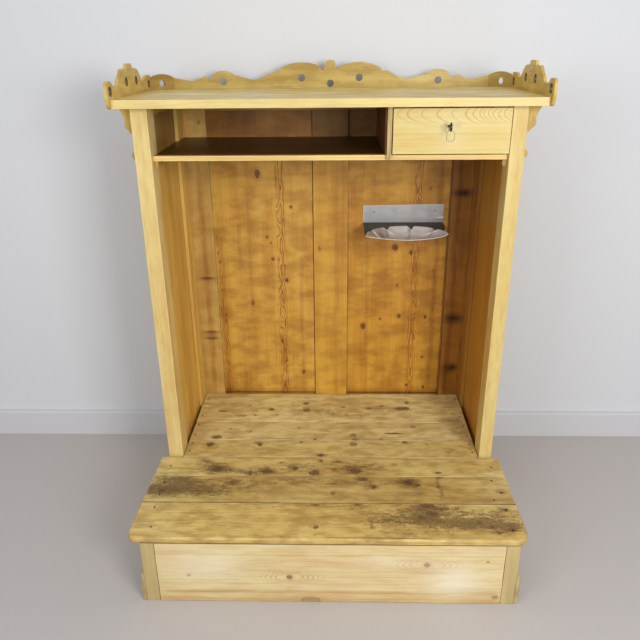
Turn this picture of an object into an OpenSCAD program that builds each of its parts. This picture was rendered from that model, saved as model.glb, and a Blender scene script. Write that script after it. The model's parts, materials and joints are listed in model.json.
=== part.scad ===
// Church font cabinet: framed pine alcove with a kneeling step, a fretwork gallery,
// a lockable drawer, an open compartment and a shell bowl for water on a metal angle plate.
// Millimetres. X to the right, Y to the back, Z up. The origin is on the floor under the
// middle of the footprint. The pieces are drawn with Y = 0 at the post fronts, and place()
// moves them onto the origin.

/* [Top board] */
// Width of the top board
top_width = 1300; // [1240:10:1340]
// Height of the top board's upper face
top_z = 1539; // [1530:1:1560]
// Thickness of the top board
top_thick = 26; // [22:1:30]
// Overhang of the top board in front of the posts
top_overhang = 39; // [20:1:50]
// Length of the cut-off back corners along each edge
corner_cut = 70; // [60:1:80]

/* [Carcass] */
// Distance from the centre line to the outer face of the right post
post_outer = 601; // [596:1:608]
// Distance from the centre line to the outer face of the left post, which is a little wider
post_outer_left = 608; // [600:1:612]
// Distance from the centre line to the inner face of a post
post_inner = 555; // [553:1:557]
// Depth of a front post, front to back
post_depth = 78; // [70:1:90]
// Front face of the back frame, measured from the post fronts
back_y = 477; // [470:1:480]
// Thickness of the back frame
back_thick = 24; // [22:1:26]
// Half the width of the back frame's centre stile
centre_half = 68; // [60:1:75]
// Inner edge of the back frame's outer stiles
stile_inner = 469; // [460:1:475]

/* [Shelf and drawer] */
// Height of the shelf's upper face
shelf_z = 1367; // [1360:1:1370]
// Thickness of the shelf
shelf_thick = 16; // [14:1:20]
// Set-back of the shelf's front edge behind the post fronts
shelf_setback = 15; // [14:1:18]
// Left edge of the drawer front
drawer_left = 195; // [194:0.5:198]
// Right edge of the drawer front
drawer_right = 553.5; // [552:0.5:554]
// Outside depth of the drawer
drawer_depth = 440; // [400:5:445]
// Keyhole position across the cabinet
key_x = 365; // [355:1:390]
// Keyhole height
key_z = 1455; // [1450:1:1460]
// Radius of the key's stem
key_r = 3; // [2.5:0.1:3.5]

/* [Step and floor] */
// Height of the step and of the inner floor
floor_z = 261; // [240:1:280]
// Thickness of the floor planks
plank_thick = 23; // [22:1:28]
// Distance from the centre line to the right ends of the step's planks
step_right = 625; // [620:1:632]
// Distance from the centre line to the left end of the step's front plank
step_left = 638; // [630:1:645]
// Distance from the post fronts to the nosing of the step
nosing_reach = 450; // [449:1:456]
// Distance from the post fronts to the riser's face
riser_reach = 448; // [440:1:448]

/* [Stoup] */
// Centre of the shell bowl across the cabinet
shell_x = 284; // [280:1:290]
// Half the width of the shell bowl
shell_half = 153; // [140:1:155]
// Inner depth of the shell bowl
shell_depth = 17; // [12:1:24]

/* [Hidden] */
$fn = 48;
gallery_thick = 9;
top_under = top_z - top_thick;
top_half = top_width / 2;
top_back = back_y + back_thick;
middle_y = (top_back + gallery_thick - nosing_reach) / 2; // middle of the footprint
overlap = 0.01; // joins touching bodies

module place() translate([0, -middle_y, 0]) children();

// box between two opposite corners
module box(low, high) translate(low) cube(high - low);

module flip() mirror([1, 0, 0]) children();

module both_sides() {
  children();
  flip() children();
}

// ---------- nails ----------
// nail or screw with a round head, head up, its top at the origin
module nail(length, r = 1.6, head_r = 3.2, head_h = 1.5) {
  translate([0, 0, -head_h]) cylinder(r = head_r, h = head_h, $fn = 20);
  translate([0, 0, -length]) cylinder(r = r, h = length - head_h + overlap, $fn = 16);
}

// x, y of each nail in the step
step_nails = [
  [-574, -397], [-587, -300], [-587, -236], [-587, -165], [-587, -66],
  [583, -401], [584, -301], [590, -213], [557, -250], [571, -144], [587, -66]];
floor_nail_x = 537;
floor_nail_y = [30, 84, 140, 215, 288, 425];

module plank_nail_set() {
  for (p = step_nails) translate([p.x, p.y, floor_z]) nail(52);
  both_sides() for (y = floor_nail_y) translate([floor_nail_x, y, floor_z]) nail(50);
}

gallery_nail_z = top_under + 13;
side_nail_y = [-18, 185, 400];
back_nail_x = [-500, -170, 170, 500];

module gallery_nail(length) nail(length, r = 1.2, head_r = 2.4, head_h = 1);

module gallery_nail_set() {
  corner_shift = gallery_thick * cos(45) - corner_cut / 2;
  both_sides() {
    for (y = side_nail_y)
      translate([top_half + gallery_thick, y, gallery_nail_z])
        rotate([0, 90, 0]) gallery_nail(38);
    translate([top_half + corner_shift, top_back + corner_shift, gallery_nail_z])
      rotate([0, 0, 45]) rotate([0, 90, 0]) gallery_nail(30);
  }
  for (x = back_nail_x)
    translate([x, top_back + gallery_thick, gallery_nail_z])
      rotate([-90, 0, 0]) gallery_nail(38);
}

// ---------- top board ----------
// plan points at the ends of the right cut-off corner, and outside them on the gallery
mitre = 5;
cut_side = [top_half, top_back - corner_cut];
cut_back = [top_half - corner_cut, top_back];
outer_side = cut_side + [gallery_thick, mitre];
outer_back = cut_back + [mitre, gallery_thick];

function flipped(point) = [-point.x, point.y];

module top_board() color([0.86, 0.74, 0.46]) place() difference() {
  translate([0, 0, top_under]) linear_extrude(height = top_thick)
    polygon([[-top_half, -top_overhang], [top_half, -top_overhang], cut_side, cut_back,
      flipped(cut_back), flipped(cut_side)]);
  // mortise for the lock bolt
  box([key_x - 19, 12, top_under - 1], [key_x + 15, 20, top_under + 12]);
  gallery_nail_set();
}

// ---------- fretwork gallery ----------
// each board is cut out a little too thick, then trimmed to its mitred plan
cut_thick = gallery_thick + 2;

module gallery_plan(points)
  translate([0, 0, top_under]) linear_extrude(height = 200) polygon(points);

// rows of x, z, radius
module holes(table)
  for (hole = table) translate([hole[0], hole[1]]) circle(r = hole[2], $fn = 32);

// height at x on a circular arc that crests at the given centre
function arc_height(x, centre, crest, r) =
  crest - (r - sqrt(max(0, r * r - (x - centre) * (x - centre))));

// height of the back board's edge above the top board, at distance x from the middle
function back_height(x) =
  x < 184 ? arc_height(x, 104, 88, 174) :
  x < 190 ? 67 - (x - 184) * 1.6 :
  x < 213 ? 57 + sin((x - 190) * 7.8) * 1.2 :
  x < 283 ? 29 + 28 * pow((283 - x) / 70, 1.6) :
  x < 340 ? 29 + 14 * pow((x - 283) / 57, 1.25) :
  x < 353 ? 43 + sin((x - 340) * 13.8) * 2 :
  x < 440 ? arc_height(x, 396, 61.5, 65) :
  x < 452 ? 32 :
  x < 465 ? 34 + (x - 452) * 0.8 :
  x < 479 ? 44 - (x - 465) * 0.45 :
  x < 514 ? 27 + 10 * pow((514 - x) / 35, 1.5) :
  27 + 12 * pow((x - 514) / 67, 1.3);

back_end = 590;      // the outline runs past the mitres to here
back_curve = 585;    // outer end of the curved edge
// right half of the flat-topped finial, without its crest: x, height above the top board
finial = [[16, 69], [18.5, 74], [18.5, 84], [16, 90], [10, 94.5]];
finial_crest = [0, 96];
back_half = concat(
  [[back_end, -top_thick], [back_end, back_height(back_curve)]],
  [for (x = [back_curve : -3 : 27]) [x, back_height(x)]],
  finial);
back_outline = concat(back_half, [finial_crest],
  [for (i = [len(back_half) - 1 : -1 : 0]) flipped(back_half[i])]);
// the last two are the cuts beside the finial
back_holes = [[-396, 23.5, 13], [-106, 35, 13], [0, 15, 13], [106, 35, 13], [396, 23.5, 13],
  [-29, 66, 5.6], [27, 72, 6.2]];

module gallery_back() color([0.80, 0.65, 0.33]) place() difference() {
  intersection() {
    translate([0, top_back + gallery_thick + 1, top_z]) rotate([90, 0, 0])
      linear_extrude(height = cut_thick) difference() {
        polygon(back_outline);
        holes(back_holes);
      }
    gallery_plan([flipped(cut_back), cut_back, outer_back, flipped(outer_back)]);
  }
  gallery_nail_set();
}

// right corner board; its inner face lies on the cut-off corner of the top board
corner_length = corner_cut * sqrt(2);
corner_extra = 10; // the outline runs past both mitres by this much
corner_outline = concat(
  [[-corner_extra, -top_thick]],
  [for (x = [-corner_extra : 2.5 : corner_length + corner_extra])
    [x, x < 0 || x > corner_length ? 40 : arc_height(x, corner_length / 2, 53, 101)]],
  [[corner_length + corner_extra, -top_thick]]);

module corner_board() intersection() {
  translate([cut_side.x, cut_side.y, top_z]) rotate([0, 0, 135]) translate([0, 1, 0])
    rotate([90, 0, 0]) linear_extrude(height = cut_thick) difference() {
      polygon(corner_outline);
      holes([[corner_length / 2, 21, 11.5]]);
    }
  gallery_plan([cut_side, outer_side, outer_back, cut_back]);
}

module gallery_corner_right() color([0.78, 0.62, 0.31]) place() difference() {
  corner_board();
  gallery_nail_set();
}

module gallery_corner_left() color([0.78, 0.62, 0.31]) place() difference() {
  flip() corner_board();
  gallery_nail_set();
}

// side board outline: distance behind the post fronts, height above the top board
side_front = -57;
side_outline = [
  [side_front, 33], [side_front, 5], [side_front + 3, -12], [side_front + 9, -21],
  [side_front + 19, -top_thick], [440, -top_thick], [440, 50],
  [432, 52], [385, 52.5], [372, 50.5], [363, 45], [356, 39], [345, 37.5], [325, 40],
  [313, 50], [299, 63], [286, 72], [275, 77.5], [263, 80], [240, 81.5], [227, 82],
  [225, 88], [221, 93], [212, 96], [172, 96.5], [163, 95], [158, 90], [155, 84],
  [150, 81.5], [116, 82.5], [104, 81], [97, 78], [92, 71], [82, 62], [72, 57], [62, 50],
  [54, 40], [44, 35], [20, 35.7], [3, 38], [-3, 43], [-10, 49], [-20, 51.5],
  [-42, 51.5], [-50, 49], [-55, 42]];
// the last two are the curls below the knob
side_holes = [[-26, 23, 14], [147, 42, 13.5], [258, 42, 13.5], [410, 23, 13],
  [178, 77, 5], [222, 76, 3.5]];

module side_board() intersection() {
  translate([top_half - 1, 0, top_z]) rotate([90, 0, 90])
    linear_extrude(height = cut_thick) difference() {
      polygon(side_outline);
      holes(side_holes);
    }
  gallery_plan([[top_half, side_front - 1], [top_half + gallery_thick, side_front - 1],
    outer_side, cut_side]);
}

module gallery_side_right() color([0.80, 0.65, 0.33]) place() difference() {
  side_board();
  gallery_nail_set();
}

module gallery_side_left() color([0.80, 0.65, 0.33]) place() difference() {
  flip() side_board();
  gallery_nail_set();
}

module gallery_nails() color([0.25, 0.22, 0.2]) place() gallery_nail_set();

// scroll brackets under the overhang, against the outer faces of the front posts
// outline: distance out from the post, height above the top board's underside
bracket_reach = 48;
bracket_outline = [
  [0, 0], [bracket_reach, 0], [47, -8], [42, -17], [37, -25], [34, -34], [33.5, -43],
  [35.5, -52], [34, -60], [29, -67], [22, -71], [19, -77], [12, -81], [9, -88],
  [7.5, -98], [7, -112], [8, -126], [11, -134], [17, -139], [20, -146], [19, -154],
  [13, -159], [0, -161]];

// stretched to reach from the post to the end of the top board
module bracket(outer)
  translate([outer, 50, top_under]) scale([(top_half - outer) / bracket_reach, 1, 1])
    rotate([90, 0, 0]) linear_extrude(height = 14) polygon(bracket_outline);

module scroll_brackets() color([0.80, 0.66, 0.36]) place() {
  bracket(post_outer);
  flip() bracket(post_outer_left);
}

// ---------- side frames ----------
groove = 10;                  // depth of the panel grooves
panel_inner = post_inner + 12;
panel_outer = panel_inner + 14;
stile_front = 385;            // front edge of the rear stiles
rail_inner = post_inner + 11;
rail_outer = post_inner + 41;
top_rail_z = top_under - 30;  // underside of the top rails
low_rail_z0 = 60;
low_rail_z1 = 190;
tenon_inner = post_inner + 20;
tenon_outer = post_inner + 32;
tenon_length = 30;
tenon_gap = 0.5;              // at the end of a tenon
tenon_slack = 0.2;            // above or below a tenon
low_shoulder = 15;            // from a bottom rail's edge to its mortise
top_shoulder = 12;            // from a top rail's edge to its mortise
rebate = 22;                  // width of the rebate for the back frame

module side_frame_cuts() {
  // panel groove
  box([panel_inner, post_depth - groove, low_rail_z1 - groove],
    [panel_outer, stile_front + groove, top_rail_z + groove]);
  // mortises
  box([tenon_inner, post_depth - tenon_length, low_rail_z0 + low_shoulder],
    [tenon_outer, stile_front + tenon_length, low_rail_z1 - low_shoulder]);
  box([tenon_inner, post_depth - tenon_length, top_rail_z + top_shoulder],
    [tenon_outer, stile_front + tenon_length, top_under + 1]);
}

module front_post(outer) difference() {
  box([post_inner, 0, 0], [outer, post_depth, top_under]);
  side_frame_cuts();
}

module front_post_right() color([0.93, 0.83, 0.55]) place() front_post(post_outer);

module front_post_left() color([0.93, 0.83, 0.55]) place()
  flip() front_post(post_outer_left);

module rear_stile(outer) difference() {
  box([post_inner, stile_front, 0], [outer, top_back, top_under]);
  side_frame_cuts();
  box([post_inner - 1, back_y, -1], [post_inner + rebate, top_back + 1, top_under + 1]);
}

module rear_stile_right() color([0.80, 0.62, 0.32]) place() rear_stile(post_outer);

module rear_stile_left() color([0.80, 0.62, 0.32]) place()
  flip() rear_stile(post_outer_left);

// each argument is a pair of heights, lower and upper
module side_rail(rail, tenon, slot) difference() {
  union() {
    box([rail_inner, post_depth, rail[0]], [rail_outer, stile_front, rail[1]]);
    box([tenon_inner, post_depth - tenon_length + tenon_gap, tenon[0]],
      [tenon_outer, stile_front + tenon_length - tenon_gap, tenon[1]]);
  }
  box([panel_inner, 0, slot[0]], [panel_outer, stile_front + groove, slot[1]]);
}

module side_top_rails() color([0.80, 0.62, 0.32]) place() both_sides() side_rail(
  rail = [top_rail_z, top_under],
  tenon = [top_rail_z + top_shoulder + tenon_slack, top_under],
  slot = [top_rail_z - 1, top_rail_z + groove]);

module side_bottom_rails() color([0.80, 0.62, 0.32]) place() both_sides() side_rail(
  rail = [low_rail_z0, low_rail_z1],
  tenon = [low_rail_z0 + low_shoulder + tenon_slack, low_rail_z1 - low_shoulder - tenon_slack],
  slot = [low_rail_z1 - groove, low_rail_z1 + 1]);

module side_panel()
  box([panel_inner, post_depth - groove + 1, low_rail_z1 - groove],
    [panel_outer, stile_front + groove - 1, top_rail_z + groove - 1]);

module side_panel_right() color([0.74, 0.55, 0.27]) place() side_panel();

module side_panel_left() color([0.78, 0.60, 0.30]) place() flip() side_panel();

// ---------- back frame ----------
back_z0 = 60;               // underside of the frame
open_z0 = 200;              // upper edge of the bottom rail
open_z1 = 1462;             // lower edge of the top rail
back_panel_y0 = back_y + 10;
back_panel_y1 = back_y + 20;
back_tenon_y0 = back_y + 7;
back_tenon_y1 = back_y + 18;
back_mortise = 50;          // depth of the mortises in the outer stiles
low_mortise = 40;           // depth of the centre stile's mortise in the bottom rail
top_mortise = 30;           // depth of the centre stile's mortise in the top rail
centre_tenon = centre_half - 15; // half the width of the centre stile's tenons

// right outer stile; housings are pairs of heights cut across its front face
module back_stile(housings) difference() {
  box([stile_inner, back_y, back_z0], [post_inner + rebate - 0.5, top_back, top_under]);
  box([stile_inner - 1, back_panel_y0, open_z0 - groove],
    [stile_inner + groove, back_panel_y1, open_z1 + groove]);
  box([stile_inner - 1, back_tenon_y0, back_z0 + low_shoulder],
    [stile_inner + back_mortise, back_tenon_y1, open_z0 - low_shoulder]);
  box([stile_inner - 1, back_tenon_y0, open_z1 + top_shoulder],
    [stile_inner + back_mortise, back_tenon_y1, top_under - top_shoulder]);
  for (z = housings)
    box([stile_inner - 1, back_y - 1, z[0]], [post_inner + rebate + 1, back_y + 2.5, z[1]]);
}

module back_stile_left() color([0.76, 0.56, 0.27]) place()
  flip() back_stile([[788, 806], [526, 558]]);

module back_stile_right() color([0.62, 0.42, 0.20]) place() back_stile([[604, 644]]);

module back_stile_centre() color([0.76, 0.56, 0.27]) place() difference() {
  union() {
    box([-centre_half, back_y, open_z0], [centre_half, top_back, open_z1]);
    box([-centre_tenon, back_tenon_y0, open_z0 - low_mortise + tenon_gap],
      [centre_tenon, back_tenon_y1, open_z1 + top_mortise - tenon_gap]);
  }
  both_sides() box([centre_half - groove, back_panel_y0, open_z0 - 50],
    [centre_half + 1, back_panel_y1, open_z1 + 50]);
}

// each argument is a pair of heights; the mortise takes the centre stile's tenon
module back_rail(rail, tenon, slot, mortise) difference() {
  tenon_end = stile_inner + back_mortise - tenon_gap;
  mortise_half = centre_tenon + tenon_slack;
  union() {
    box([-stile_inner, back_y, rail[0]], [stile_inner, top_back, rail[1]]);
    box([-tenon_end, back_tenon_y0, tenon[0]], [tenon_end, back_tenon_y1, tenon[1]]);
  }
  box([-stile_inner - groove, back_panel_y0, slot[0]],
    [stile_inner + groove, back_panel_y1, slot[1]]);
  box([-mortise_half, back_tenon_y0, mortise[0]], [mortise_half, back_tenon_y1, mortise[1]]);
}

module back_top_rail() color([0.66, 0.45, 0.22]) place() back_rail(
  rail = [open_z1, top_under],
  tenon = [open_z1 + top_shoulder + tenon_slack, top_under - top_shoulder - tenon_slack],
  slot = [open_z1 - 1, open_z1 + groove],
  mortise = [open_z1 - 1, open_z1 + top_mortise]);

module back_bottom_rail() color([0.76, 0.56, 0.27]) place() back_rail(
  rail = [back_z0, open_z0],
  tenon = [back_z0 + low_shoulder + tenon_slack, open_z0 - low_shoulder - tenon_slack],
  slot = [open_z0 - groove, open_z0 + 1],
  mortise = [open_z0 - low_mortise, open_z0 + 1]);

module back_panel()
  box([centre_half - groove + 1, back_panel_y0, open_z0 - groove + 0.5],
    [stile_inner + groove - 1, back_panel_y1, open_z1 + groove - 1]);

module back_panel_right() color([0.74, 0.53, 0.24]) place() difference() {
  back_panel();
  plate_screw_set();
}

module back_panel_left() color([0.76, 0.55, 0.26]) place() flip() back_panel();

// ---------- shelf, divider and drawer guides ----------
shelf_under = shelf_z - shelf_thick;
cleat_y0 = 17;
cleat_y1 = 470;
cleat_step_z = shelf_under - 12; // where the cleat narrows
divider_x0 = drawer_left - 22;
divider_x1 = drawer_left - 3;
strip_y = 3;
strip_x0 = divider_x0 + 5;
strip_z = shelf_under + 10;      // where the strip's round lower end begins
kicker_width = 18;

module shelf() color([0.86, 0.72, 0.42]) place()
  box([-post_inner + 0.5, shelf_setback, shelf_under], [post_inner - 0.5, back_y, shelf_z]);

module shelf_cleats() color([0.84, 0.70, 0.40]) place() both_sides() union() {
  box([post_inner - 15, cleat_y0, cleat_step_z], [post_inner, cleat_y1, shelf_under]);
  box([post_inner - 9, cleat_y0, shelf_under - 20], [post_inner, cleat_y1, cleat_step_z]);
  translate([post_inner - 8, cleat_y0, cleat_step_z]) rotate([-90, 0, 0])
    cylinder(r = 8, h = cleat_y1 - cleat_y0);
}

module divider_panel() color([0.60, 0.42, 0.22]) place()
  box([divider_x0, shelf_setback, shelf_z], [divider_x1, back_y, top_under]);

// strip with a round lower end in front of the divider
module divider_strip() color([0.66, 0.55, 0.36]) place() union() {
  box([strip_x0, strip_y, strip_z], [divider_x1 + 0.6, shelf_setback, top_under]);
  translate([(strip_x0 + divider_x1 + 0.6) / 2, strip_y, strip_z]) rotate([-90, 0, 0])
    cylinder(r = 7.3, h = shelf_setback - strip_y);
}

module drawer_guide() color([0.84, 0.70, 0.40]) place()
  box([post_inner - 0.8, post_depth + 1, shelf_z],
    [panel_inner, stile_front - 1, shelf_z + 18]);

module drawer_kickers() color([0.84, 0.70, 0.40]) place()
  for (x = [divider_x1, post_inner - kicker_width])
    box([x, 40, top_under - 12], [x + kicker_width, back_y - 10, top_under]);

module drawer_stop() color([0.84, 0.70, 0.40]) place()
  box([350, drawer_depth + 0.6, shelf_z], [410, drawer_depth + 20, shelf_z + 18]);

// ---------- drawer ----------
front_z0 = shelf_z + 4;
front_z1 = top_under - 6;
front_thick = 20;
side_thick = 12;
side_z0 = shelf_z + 0.3;
side_z1 = top_under - 13;
bottom_z0 = shelf_z + 8;
bottom_z1 = bottom_z0 + 6;
bottom_groove = 4;      // depth of the bottom's grooves in the sides
right_side_x = drawer_right - side_thick;

// lapped dovetails: flat wedges on the drawer sides, laid in sockets of the front
module tails(gap = 0)
  for (z = [side_z0 + 20, (side_z0 + side_z1) / 2, side_z1 - 22])
    translate([0, 0, z]) rotate([0, 90, 0]) linear_extrude(height = side_thick)
      polygon([[-9 - gap, 7 - gap], [9 + gap, 7 - gap],
        [7 + gap, front_thick + 1], [-7 - gap, front_thick + 1]]);

module drawer_front() color([0.95, 0.86, 0.60]) place() difference() {
  box([drawer_left, 0, front_z0], [drawer_right, front_thick, front_z1]);
  for (x = [drawer_left, right_side_x]) translate([x, 0, 0]) tails(0.1);
  // groove for the bottom board
  box([drawer_left + side_thick - bottom_groove, front_thick - 5, bottom_z0],
    [right_side_x + bottom_groove, front_thick + 1, bottom_z1]);
  // lock recess and keyhole
  box([lock_x0, lock_y, lock_z0], [lock_x1, front_thick + 1, front_z1 + 1]);
  at_key(-1) keyhole(14);
  lock_screw_set();
  pin_set();
}

module drawer_side(x, groove_x) difference() {
  union() {
    box([x, front_thick, side_z0], [x + side_thick, drawer_depth, side_z1]);
    translate([x, 0, 0]) intersection() {
      tails();
      box([0, 0, 0], [side_thick, front_thick + overlap, 2000]);
    }
  }
  box([groove_x, 0, bottom_z0], [groove_x + bottom_groove + 1, drawer_depth + 1, bottom_z1]);
}

module drawer_side_left() color([0.90, 0.78, 0.50]) place()
  drawer_side(drawer_left, drawer_left + side_thick - bottom_groove);

module drawer_side_right() color([0.90, 0.78, 0.50]) place()
  drawer_side(right_side_x, right_side_x - 1);

module drawer_back() color([0.88, 0.76, 0.48]) place()
  box([drawer_left + side_thick, drawer_depth - 12, bottom_z1],
    [right_side_x, drawer_depth, side_z1 - 8]);

module drawer_bottom() color([0.86, 0.74, 0.46]) place()
  box([drawer_left + side_thick - 3.8, front_thick - 4.8, bottom_z0],
    [right_side_x + 3.8, drawer_depth, bottom_z1]);

// ---------- lock ----------
lock_x0 = key_x - 28;
lock_x1 = key_x + 28;
lock_y = front_thick - 10;   // front face of the case
lock_z0 = key_z - 22;
lock_wall = 2;
lock_plate_x0 = key_x - 36;
lock_plate_x1 = key_x + 36;
lock_plate_z0 = key_z - 28;
lock_plate_y = front_thick + 2; // back face of the plate
bolt_x0 = key_x - 16;
bolt_x1 = key_x + 12;
bolt_y0 = front_thick - 6;
bolt_y1 = front_thick - 2;
bolt_z = key_z + 8;          // underside of the bolt's wide part

// stands children on the key's axis: their Z runs to the back from y, their Y runs up
module at_key(y)
  translate([key_x, y, key_z]) rotate([-90, 0, 0]) mirror([0, 1, 0]) children();

module keyhole(length) {
  cylinder(r = key_r + 0.05, h = length);
  translate([-1.4, -14.8, 0]) cube([2.8, 14.8, length]);
}

module lock_screw_set()
  for (x = [lock_plate_x0 + 4, lock_plate_x1 - 4], z = [lock_plate_z0 + 6, front_z1 - 12])
    translate([x, lock_plate_y, z]) rotate([-90, 0, 0])
      nail(14, r = 1.3, head_r = 2.6, head_h = 1.2);

module pin_set()
  for (side = [-1, 1])
    translate([key_x + side * 12.3, 0, key_z + 3]) rotate([90, 0, 0])
      nail(9.5, r = 0.9, head_r = 1.5, head_h = 1);

module lock_case() color([0.36, 0.33, 0.30]) place() difference() {
  union() {
    box([lock_x0, lock_y, lock_z0], [lock_x1, front_thick, front_z1]);
    box([lock_plate_x0, front_thick, lock_plate_z0], [lock_plate_x1, lock_plate_y, front_z1]);
  }
  box([lock_x0 + lock_wall, lock_y + lock_wall, lock_z0 + lock_wall],
    [lock_x1 - lock_wall, front_thick - 0.2, front_z1 - lock_wall]);
  // slot for the bolt
  box([bolt_x0 - 0.2, bolt_y0 - 0.2, front_z1 - 3], [bolt_x1 + 0.2, bolt_y1 + 0.2, front_z1 + 1]);
  at_key(lock_y - 1) keyhole(4);
  lock_screw_set();
}

// bolt with a narrower tail that hangs beside the key's bit
module lock_bolt() color([0.62, 0.50, 0.26]) place() union() {
  box([bolt_x0, bolt_y0, bolt_z], [bolt_x1, bolt_y1, front_z1]);
  box([bolt_x0, bolt_y0, key_z - 12], [key_x - 8, bolt_y1, bolt_z + overlap]);
}

module lock_screws() color([0.35, 0.33, 0.3]) place() lock_screw_set();

module keyhole_pins() color([0.45, 0.36, 0.2]) place() pin_set();

// ---------- key ----------
stem_y = -21;       // front end of the stem
bow_y = -34;        // centre of the bow
bow_r = 12;
bow_wire_r = 1.9;
ring_r = 12;
ring_wire_r = 0.7;
ring_straight = 9;
ring_z = key_z - bow_r + bow_wire_r + ring_wire_r + 0.3 - ring_r; // upper half circle's centre

// round stem with a collar, flat bit inside the lock, round bow upright in the YZ plane
module key() color([0.25, 0.24, 0.24]) place() union() {
  at_key(stem_y) cylinder(r = key_r, h = front_thick - 0.8 - stem_y);
  at_key(-8) cylinder(r = key_r + 1.2, h = 3);
  translate([key_x - 1.25, front_thick - 7.5, key_z - 14]) cube([2.5, 6, 13]);
  translate([key_x, bow_y, key_z]) rotate([0, 90, 0])
    rotate_extrude($fn = 64) translate([bow_r, 0]) circle(r = bow_wire_r, $fn = 24);
}

module half_ring()
  rotate_extrude(angle = 180, $fn = 64) translate([ring_r, 0]) circle(r = ring_wire_r, $fn = 16);

// wire loop that hangs on the bow: two half circles joined by short straight wires
module key_ring() color([0.5, 0.48, 0.42]) place() translate([key_x, bow_y, ring_z]) {
  rotate([90, 0, 0]) half_ring();
  for (side = [-1, 1])
    translate([side * ring_r, 0, -ring_straight])
      cylinder(r = ring_wire_r, h = ring_straight, $fn = 16);
  translate([0, 0, -ring_straight]) rotate([-90, 0, 0]) half_ring();
}

// ---------- inner floor ----------
floor_under = floor_z - plank_thick;
floor_half = post_inner - 2;
bearer_z = floor_under - 40; // underside of the bearers
bearer_half = 20;            // half the width of the centre bearers

module floor_board(y0, y1) difference() {
  box([-floor_half, y0, floor_under], [floor_half, y1, floor_z]);
  plank_nail_set();
}

module floor_board_front() color([0.78, 0.65, 0.36]) place() floor_board(-6.4, 105.6);

module floor_board_middle() color([0.77, 0.63, 0.35]) place() floor_board(106.6, 240.6);

module floor_board_rear() color([0.74, 0.60, 0.33]) place() floor_board(241.6, back_y - 1.5);

module floor_bearers() color([0.70, 0.56, 0.32]) place() difference() {
  union() {
    both_sides() box([post_inner - 36, 3, bearer_z], [post_inner, back_y - 2, floor_under]);
    box([-bearer_half, 3, bearer_z], [bearer_half, back_y - 2, floor_under]);
  }
  plank_nail_set();
}

// ---------- step ----------
step_wall = 20;       // thickness of the riser, side boards and rear rail
corner_post = 45;     // width and depth of the corner posts
riser_half = 555.5;
step_half = riser_half + corner_post;
corner_post_y = -riser_reach + corner_post; // back face of the corner posts
front_board_back = -273.5;
nose_top_r = 9;
nose_low_r = 7;
// worn-off front corners: distance out from the plank's end, distance behind the nosing
right_wear = [[1, -1], [-40, -1], [-36, 1], [-22, 6], [-10, 13], [-3, 22], [0, 32], [1, 33]];
left_wear = [[1, -1], [-28, -1], [-24, 1], [-13, 5], [-6, 10], [-2, 17], [0, 25], [1, 26]];
// right plinth section: distance out from the side board, height
plinth_outline = [[0, 0], [12.5, 0], [12.5, 109], [11.8, 112.4], [9.9, 115.4], [7, 117.3],
  [3.5, 118], [0, 118]];

module nose_round(r, z)
  translate([-step_left, -nosing_reach + r, z]) rotate([0, 90, 0])
    cylinder(r = r, h = step_right + step_left);

// front plank with a rounded nosing
module step_board_front() color([0.80, 0.67, 0.36]) place() difference() {
  union() {
    box([-step_left, -nosing_reach + nose_top_r, floor_under],
      [step_right, front_board_back, floor_z]);
    box([-step_left, -nosing_reach, floor_under + nose_low_r],
      [step_right, -nosing_reach + nose_top_r + overlap, floor_z - nose_top_r]);
    nose_round(nose_top_r, floor_z - nose_top_r);
    nose_round(nose_low_r, floor_under + nose_low_r);
    box([-step_left, -nosing_reach + nose_low_r, floor_under],
      [step_right, -nosing_reach + 10, floor_under + nose_low_r]);
  }
  translate([0, 0, floor_under - 1]) linear_extrude(height = plank_thick + 2) {
    translate([step_right, -nosing_reach]) polygon(right_wear);
    flip() translate([step_left, -nosing_reach]) polygon(left_wear);
  }
  plank_nail_set();
}

module step_board(y0, y1, left) difference() {
  box([-left, y0, floor_under], [step_right, y1, floor_z]);
  plank_nail_set();
}

module step_board_middle() color([0.74, 0.60, 0.33]) place()
  step_board(-272.5, -124.5, step_left - 2);

module step_board_rear() color([0.77, 0.63, 0.35]) place()
  step_board(-123.5, -7.6, step_left - 5);

module step_riser() color([0.92, 0.82, 0.58]) place()
  box([-riser_half, -riser_reach, 0], [riser_half, -riser_reach + step_wall, floor_under]);

module step_corner_posts() color([0.76, 0.66, 0.42]) place() difference() {
  both_sides() box([riser_half, -riser_reach, 0], [step_half, corner_post_y, floor_under]);
  plank_nail_set();
}

module step_side_boards() color([0.80, 0.68, 0.42]) place() difference() {
  both_sides() box([step_half - step_wall, corner_post_y, 0], [step_half, 0, floor_under]);
  plank_nail_set();
}

module step_plinths() color([0.82, 0.68, 0.38]) place() both_sides()
  translate([step_half, -2, 0]) rotate([90, 0, 0])
    linear_extrude(height = riser_reach - 2.5) polygon(plinth_outline);

module step_rear_rail() color([0.72, 0.58, 0.34]) place()
  box([-step_half + step_wall, -step_wall, 120], [step_half - step_wall, 0, floor_under]);

module step_bearers() color([0.70, 0.56, 0.32]) place() difference() {
  union() {
    both_sides() box([step_half - 52, corner_post_y, bearer_z],
      [step_half - step_wall, -step_wall, floor_under]);
    box([-bearer_half, -riser_reach + step_wall, bearer_z],
      [bearer_half, -step_wall, floor_under]);
  }
  plank_nail_set();
}

module plank_nails() color([0.2, 0.17, 0.15]) place() plank_nail_set();

// ---------- stoup plate ----------
plate_x0 = 129;
plate_x1 = 445;
plate_z = 1031;           // upper face of the level leaf
plate_thick = 2;
plate_under = plate_z - plate_thick;
plate_y = back_panel_y0;  // back face of the upright leaf
plate_front = plate_y - 200;
// the upright leaf's top edge is a little out of square
plate_top_left = 1100.5;
plate_top_right = 1105.5;
plate_screws = [[173, 1075], [412, 1080]]; // x, z

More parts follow.
